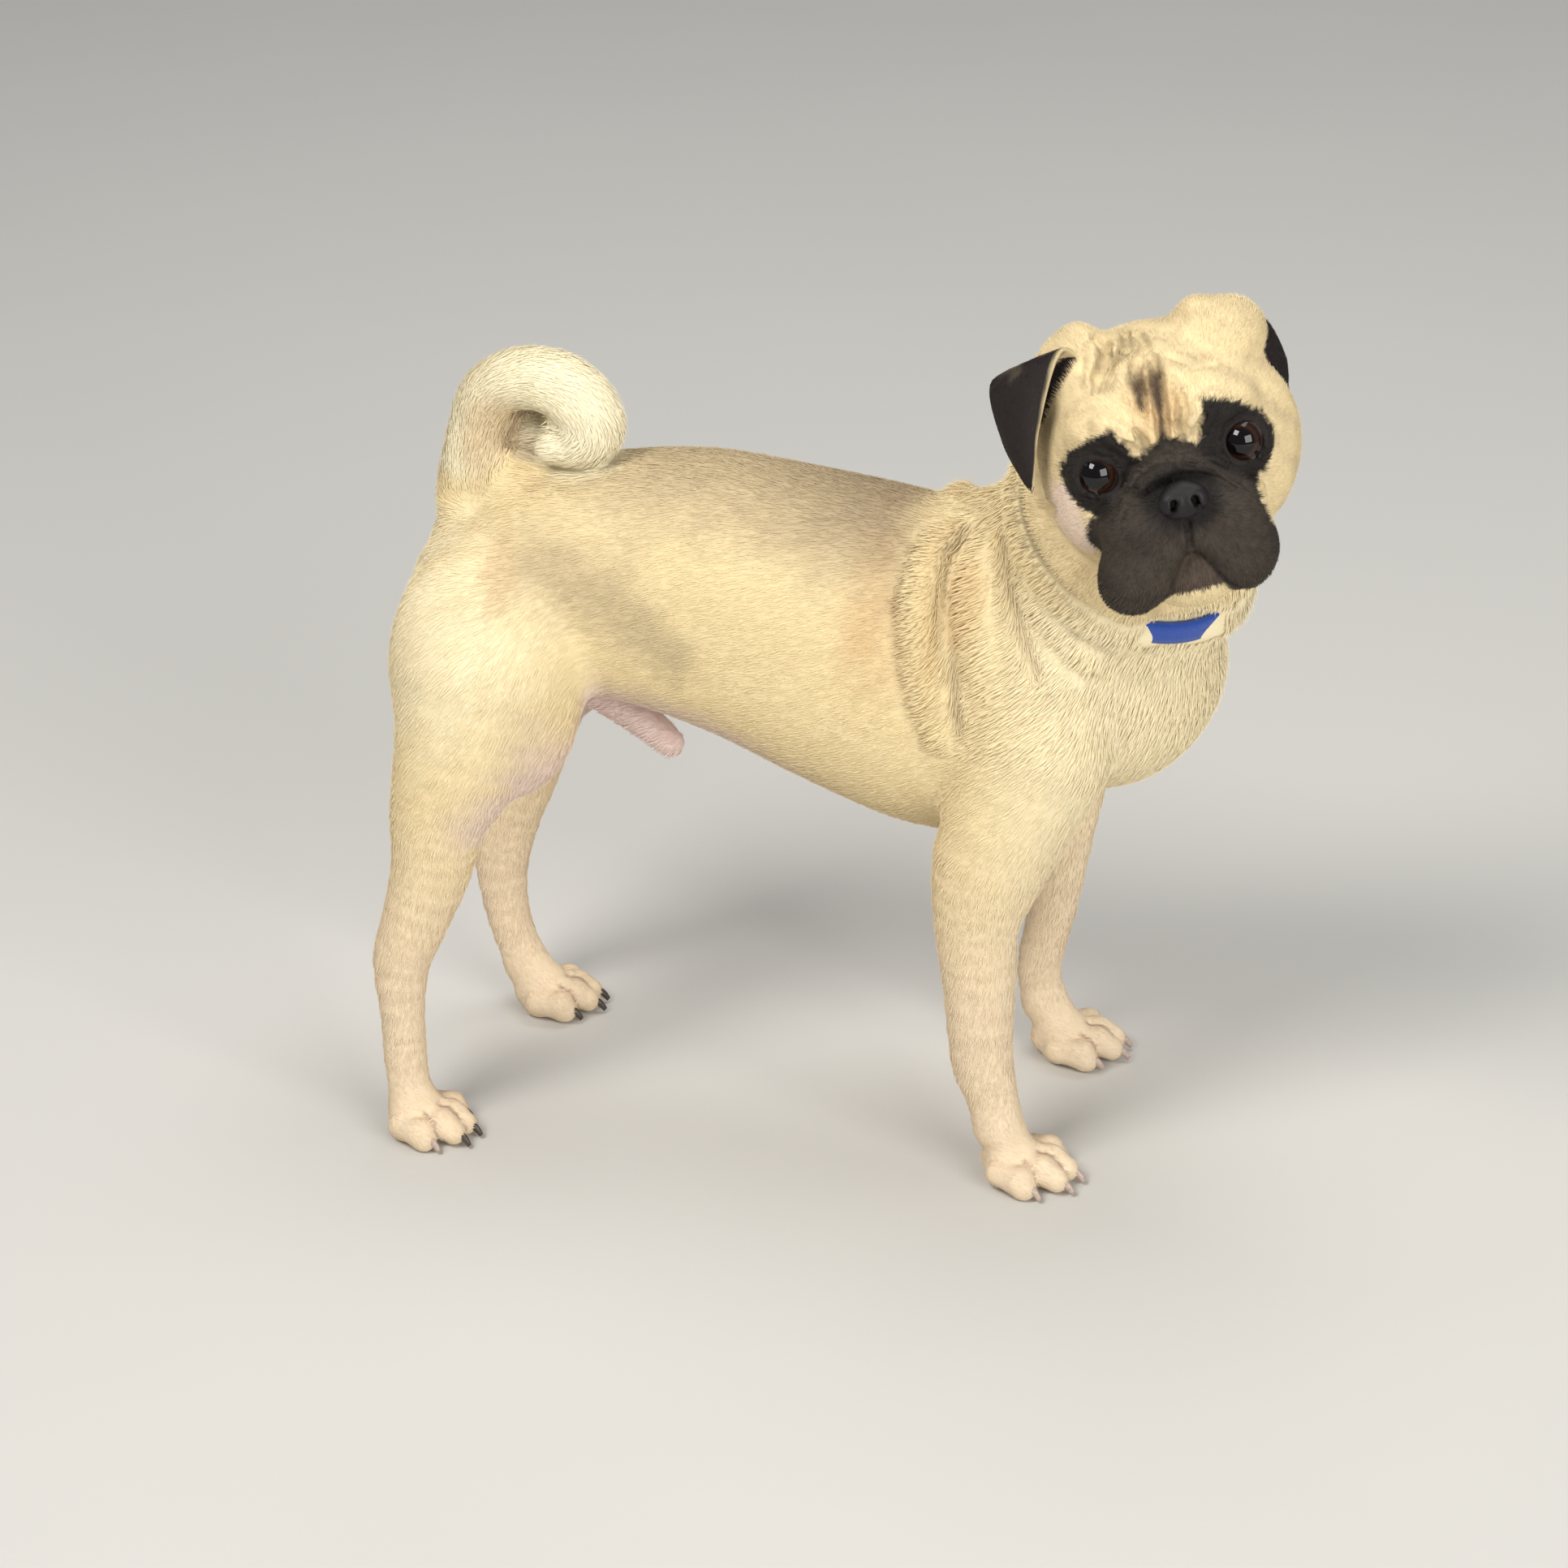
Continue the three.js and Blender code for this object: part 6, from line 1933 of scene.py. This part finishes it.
def tuft_tree(material, leaf):
    """Geometry Nodes that grow tufts on the region of a skin: spots at random, a leaf on each along the
    lie of the coat, and a small patch of the skin's unwrap for each."""
    tree = bpy.data.node_groups.new("tufts", "GeometryNodeTree")
    side = tree.interface
    side.new_socket("Geometry", in_out="INPUT", socket_type="NodeSocketGeometry")
    for name, kind, default in (
        ("Region", "NodeSocketInt", 0),
        ("Density", "NodeSocketFloat", 700000.0),
        ("Seed", "NodeSocketInt", 5),
        ("Untidy", "NodeSocketFloat", 0.09),
        ("Uneven", "NodeSocketFloat", 0.05),
    ):
        side.new_socket(name, in_out="INPUT", socket_type=kind).default_value = default
    side.new_socket("Geometry", in_out="OUTPUT", socket_type="NodeSocketGeometry")
    nodes = Nodes(tree)
    given = nodes.add("NodeGroupInput").outputs
    seed = given["Seed"]

    def named(name, kind):
        return nodes.add("GeometryNodeInputNamedAttribute", {"Name": name}, data_type=kind).outputs[0]

    def random(what):
        low, high, stream = VARIES[what]
        node = nodes.add("FunctionNodeRandomValue", data_type="FLOAT")
        node.inputs[2].default_value, node.inputs[3].default_value = low, high
        tree.links.new(nodes.math("ADD", seed, stream), node.inputs["Seed"])
        return node.outputs[1]

    def stored(name, geometry, kind, domain):
        inputs = {"Geometry": geometry, "Name": name}
        return nodes.add("GeometryNodeStoreNamedAttribute", inputs, data_type=kind, domain=domain)

    here = nodes.add("FunctionNodeCompare", data_type="INT", operation="EQUAL")
    tree.links.new(named("region", "INT"), here.inputs[2])
    tree.links.new(given["Region"], here.inputs[3])
    spread = nodes.add("GeometryNodeDistributePointsOnFaces", distribute_method="RANDOM")
    tree.links.new(given[0], spread.inputs["Mesh"])
    tree.links.new(here.outputs[0], spread.inputs["Selection"])
    tree.links.new(given["Density"], spread.inputs["Density"])
    tree.links.new(seed, spread.inputs["Seed"])
    normal = spread.outputs["Normal"]
    shape = nodes.add("ShaderNodeSeparateXYZ", {0: named("tuft", "FLOAT_VECTOR")}).outputs
    stray = nodes.add("FunctionNodeRandomValue", data_type="FLOAT_VECTOR")
    stray.inputs[0].default_value, stray.inputs[1].default_value = (-1, -1, -1), (1, 1, 1)
    tree.links.new(seed, stray.inputs["Seed"])
    rise = nodes.vector("SCALE", normal, nodes.math("MULTIPLY", shape[2], random("lift")))
    way = nodes.vector("ADD", named("lie", "FLOAT_VECTOR"), rise)
    way = nodes.vector("ADD", way, nodes.vector("SCALE", stray.outputs[0], given["Untidy"]))
    turn = nodes.add("FunctionNodeAxesToRotation", primary_axis="X", secondary_axis="Z")
    tree.links.new(way, turn.inputs[0])
    tree.links.new(normal, turn.inputs[1])
    width = nodes.math("MULTIPLY", shape[1], random("width"))
    scale = nodes.add("ShaderNodeCombineXYZ").inputs
    tree.links.new(nodes.math("MULTIPLY", shape[0], random("length")), scale[0])
    tree.links.new(width, scale[1])
    tree.links.new(nodes.math("MULTIPLY", width, TUFT_HEIGHT), scale[2])
    marked = stored("shade", spread.outputs["Points"], "FLOAT", "POINT")
    uneven = nodes.math("MULTIPLY", random("light"), given["Uneven"])
    tree.links.new(nodes.math("ADD", uneven, 1.0), marked.inputs["Value"])
    source = nodes.add("GeometryNodeObjectInfo", {"Object": leaf})
    placed = nodes.add("GeometryNodeInstanceOnPoints")
    tree.links.new(marked.outputs[0], placed.inputs["Points"])
    tree.links.new(source.outputs["Geometry"], placed.inputs["Instance"])
    tree.links.new(turn.outputs[0], placed.inputs["Rotation"])
    tree.links.new(scale[0].node.outputs[0], placed.inputs["Scale"])
    real = nodes.add("GeometryNodeRealizeInstances", {"Geometry": placed.outputs[0]})
    spot = nodes.vector("SCALE", named("leaf", "FLOAT_VECTOR"), PATCH)
    baked = stored("OFBake", real.outputs[0], "FLOAT2", "CORNER")
    tree.links.new(nodes.vector("ADD", named("unwrap", "FLOAT_VECTOR"), spot), baked.inputs["Value"])
    dressed = nodes.add("GeometryNodeSetMaterial", {"Geometry": baked.outputs[0], "Material": material})
    tree.links.new(dressed.outputs[0], nodes.add("NodeGroupOutput").inputs[0])
    return tree


# How much denser than on the trunk the tufts stand
DENSER = {"face": 2.1, "skull": 1.4, "tail": 1.5, "fore_legs": 0.95, "hind_legs": 1.05, "ear": 2.0}
# How uneven the tufts are in lightness
UNEVEN = {"face": 0.14, "skull": 0.07, "neck": 0.08, "chest": 0.07, "tail": 0.04, "rump": 0.04, "ear": 0.12}
FACES_A_PIECE = 196000
FIRST_SEED = 7


def grown(source, tree, region, name, seed):
    """Grows the tufts of a region of a mesh and returns them as a plain mesh."""
    kind = name.split("_")[0] if name.startswith("ear") else name
    piece = bpy.data.objects.new(f"coat_{name}", source.data)
    bpy.context.scene.collection.objects.link(piece)
    growth = piece.modifiers.new("tufts", "NODES")
    growth.node_group = tree
    density = sizes().tufts * 1e4 * DENSER.get(kind, 1.0) * 1
    named = {item.name: item.identifier for item in tree.interface.items_tree if item.in_out == "INPUT"}
    growth[named["Region"]] = region
    growth[named["Density"]] = density
    growth[named["Seed"]] = seed
    growth[named["Uneven"]] = UNEVEN.get(kind, 0.05)
    bpy.context.view_layer.update()
    mesh = bpy.data.meshes.new_from_object(piece.evaluated_get(bpy.context.evaluated_depsgraph_get()))
    bpy.data.objects.remove(piece)
    for spent in ("lie", "tuft", "unwrap", "region"):
        if spent in mesh.attributes:
            mesh.attributes.remove(mesh.attributes[spent])
    mesh.name = f"coat_{name}"
    if "OFBake" in mesh.uv_layers:
        mesh.uv_layers.active = mesh.uv_layers["OFBake"]
    return bpy.data.objects.new(mesh.name, mesh)


class PUG_OT_coat(bpy.types.Operator):
    """Grow the coat: short tufts over the skin, region by region"""

    bl_idname = "pug.coat"
    bl_label = "Coat"

    def execute(self, context):
        pieces = [("skin", region, name) for region, name in enumerate(REGIONS)]
        pieces += [(f"velvet_{name}", EAR_REGION, name) for name in EARS]
        leaf = leaf_object()
        material = hair_finish("tufts", True)
        tree = tuft_tree(material, leaf)
        for k, (source, region, name) in enumerate(pieces):
            piece = grown(bpy.data.objects[source], tree, region, name, FIRST_SEED + k)
            context.scene.collection.objects.link(piece)
            if len(piece.data.polygons) > FACES_A_PIECE:
                raise RuntimeError(f"too many faces in {piece.name}")
            settle(piece)
        bpy.data.objects.remove(leaf)
        return {"FINISHED"}


# Stage

CAMERA = {"at": (457.0, -1880.8, 1090.1), "heading": (-0.232, 0.973), "down": 25.97, "roll": -1.862}
LENS = {"lens": 116.33, "sensor_width": 36.0, "sensor_fit": "HORIZONTAL", "clip_end": 30}
AIM = (0, 0, 0.2)
WORLD = {"Color": (0.9, 0.93, 1.0, 1), "Strength": 0.22}
FLOOR_HALF = 9000
LIGHTS = (
    # name, place, size, power, colour
    ("key", (-0.9, -1.6, 2.4), 1.1, 56.5, (1.0, 0.975, 0.94)),
    ("fill", (1.9, -1.9, 1.2), 1.6, 53.0, (1.0, 0.99, 0.97)),
    ("top", (0.2, 0.6, 2.4), 1.4, 21.0, (1.0, 0.99, 0.96)),
)


class PUG_OT_stage(bpy.types.Operator):
    """Set the floor, the lights and the camera"""

    bl_idname = "pug.stage"
    bl_label = "Stage"

    def execute(self, context):
        scene = context.scene
        corners = np.array([(-1, -1, 0), (1, -1, 0), (1, 1, 0), (-1, 1, 0)]) * FLOOR_HALF
        floor = mesh_object("floor", corners, [(0, 1, 2, 3)])
        floor.data.materials.append(floor_finish(colours().floor))
        for name, place, size, power, colour in LIGHTS:
            light = bpy.data.lights.new(name, "AREA")
            light.size, light.energy, light.color = size, power, colour
            lamp = bpy.data.objects.new(name, light)
            lamp.location = place
            lamp.rotation_euler = (Vector(AIM) - Vector(place)).to_track_quat("-Z", "Y").to_euler()
            scene.collection.objects.link(lamp)
        world = bpy.data.worlds.new("studio")
        world.use_nodes = True
        for key, value in WORLD.items():
            world.node_tree.nodes["Background"].inputs[key].default_value = value
        scene.world = world
        scene.view_settings.view_transform = "Standard"
        camera = bpy.data.cameras.new("camera")
        for key, value in LENS.items():
            setattr(camera, key, value)
        view = bpy.data.objects.new("camera", camera)
        hx, hy = unit(np.array(CAMERA["heading"]))
        down = math.radians(CAMERA["down"])
        ahead = np.array([hx * math.cos(down), hy * math.cos(down), -math.sin(down)])
        right = unit(np.cross(ahead, (0, 0, 1)))
        up = np.cross(right, ahead)
        roll = math.radians(CAMERA["roll"])
        right, up = right * math.cos(roll) + up * math.sin(roll), up * math.cos(roll) - right * math.sin(roll)
        turn = Matrix(np.column_stack([right, up, -ahead]).tolist()).to_4x4()
        view.matrix_world = Matrix.Translation(to_row(CAMERA["at"]).tolist()) @ turn
        scene.collection.objects.link(view)
        scene.camera = view
        return {"FINISHED"}


def floor_finish(colour):
    """A plain floor, hardly uneven."""
    material, nodes, shader = finish("floor", 0.2, Roughness=0.9)
    nodes.paint(shader, tuple(colour), nodes.ranged(nodes.noise(nodes.place(), 3.0), 0.97, 1.03))
    return material


class PUG_PT_panel(bpy.types.Panel):
    """Lists the pieces, sizes and colours of the pug"""

    bl_label = "Pug"
    bl_space_type = "VIEW_3D"
    bl_region_type = "UI"
    bl_category = "Pug"

    def draw(self, context):
        for kind in OPERATORS:
            self.layout.operator(kind.bl_idname)
        for group in (context.scene.pug_sizes, context.scene.pug_colours):
            for name in group.__annotations__:
                self.layout.prop(group, name)


OPERATORS = (
    PUG_OT_skin, PUG_OT_eyes, PUG_OT_nose, PUG_OT_ears, PUG_OT_claws, PUG_OT_collar, PUG_OT_coat, PUG_OT_stage
)
CLASSES = (PugSizes, PugColours, *OPERATORS, PUG_PT_panel)


def register():
    for kind in CLASSES:
        bpy.utils.register_class(kind)
    bpy.types.Scene.pug_sizes = bpy.props.PointerProperty(type=PugSizes)
    bpy.types.Scene.pug_colours = bpy.props.PointerProperty(type=PugColours)


def unregister():
    del bpy.types.Scene.pug_colours
    del bpy.types.Scene.pug_sizes
    for kind in reversed(CLASSES):
        bpy.utils.unregister_class(kind)


def main():
    register()
    for kind in OPERATORS:
        module, name = kind.bl_idname.split(".")
        getattr(getattr(bpy.ops, module), name)()


if __name__ == "__main__":
    main()
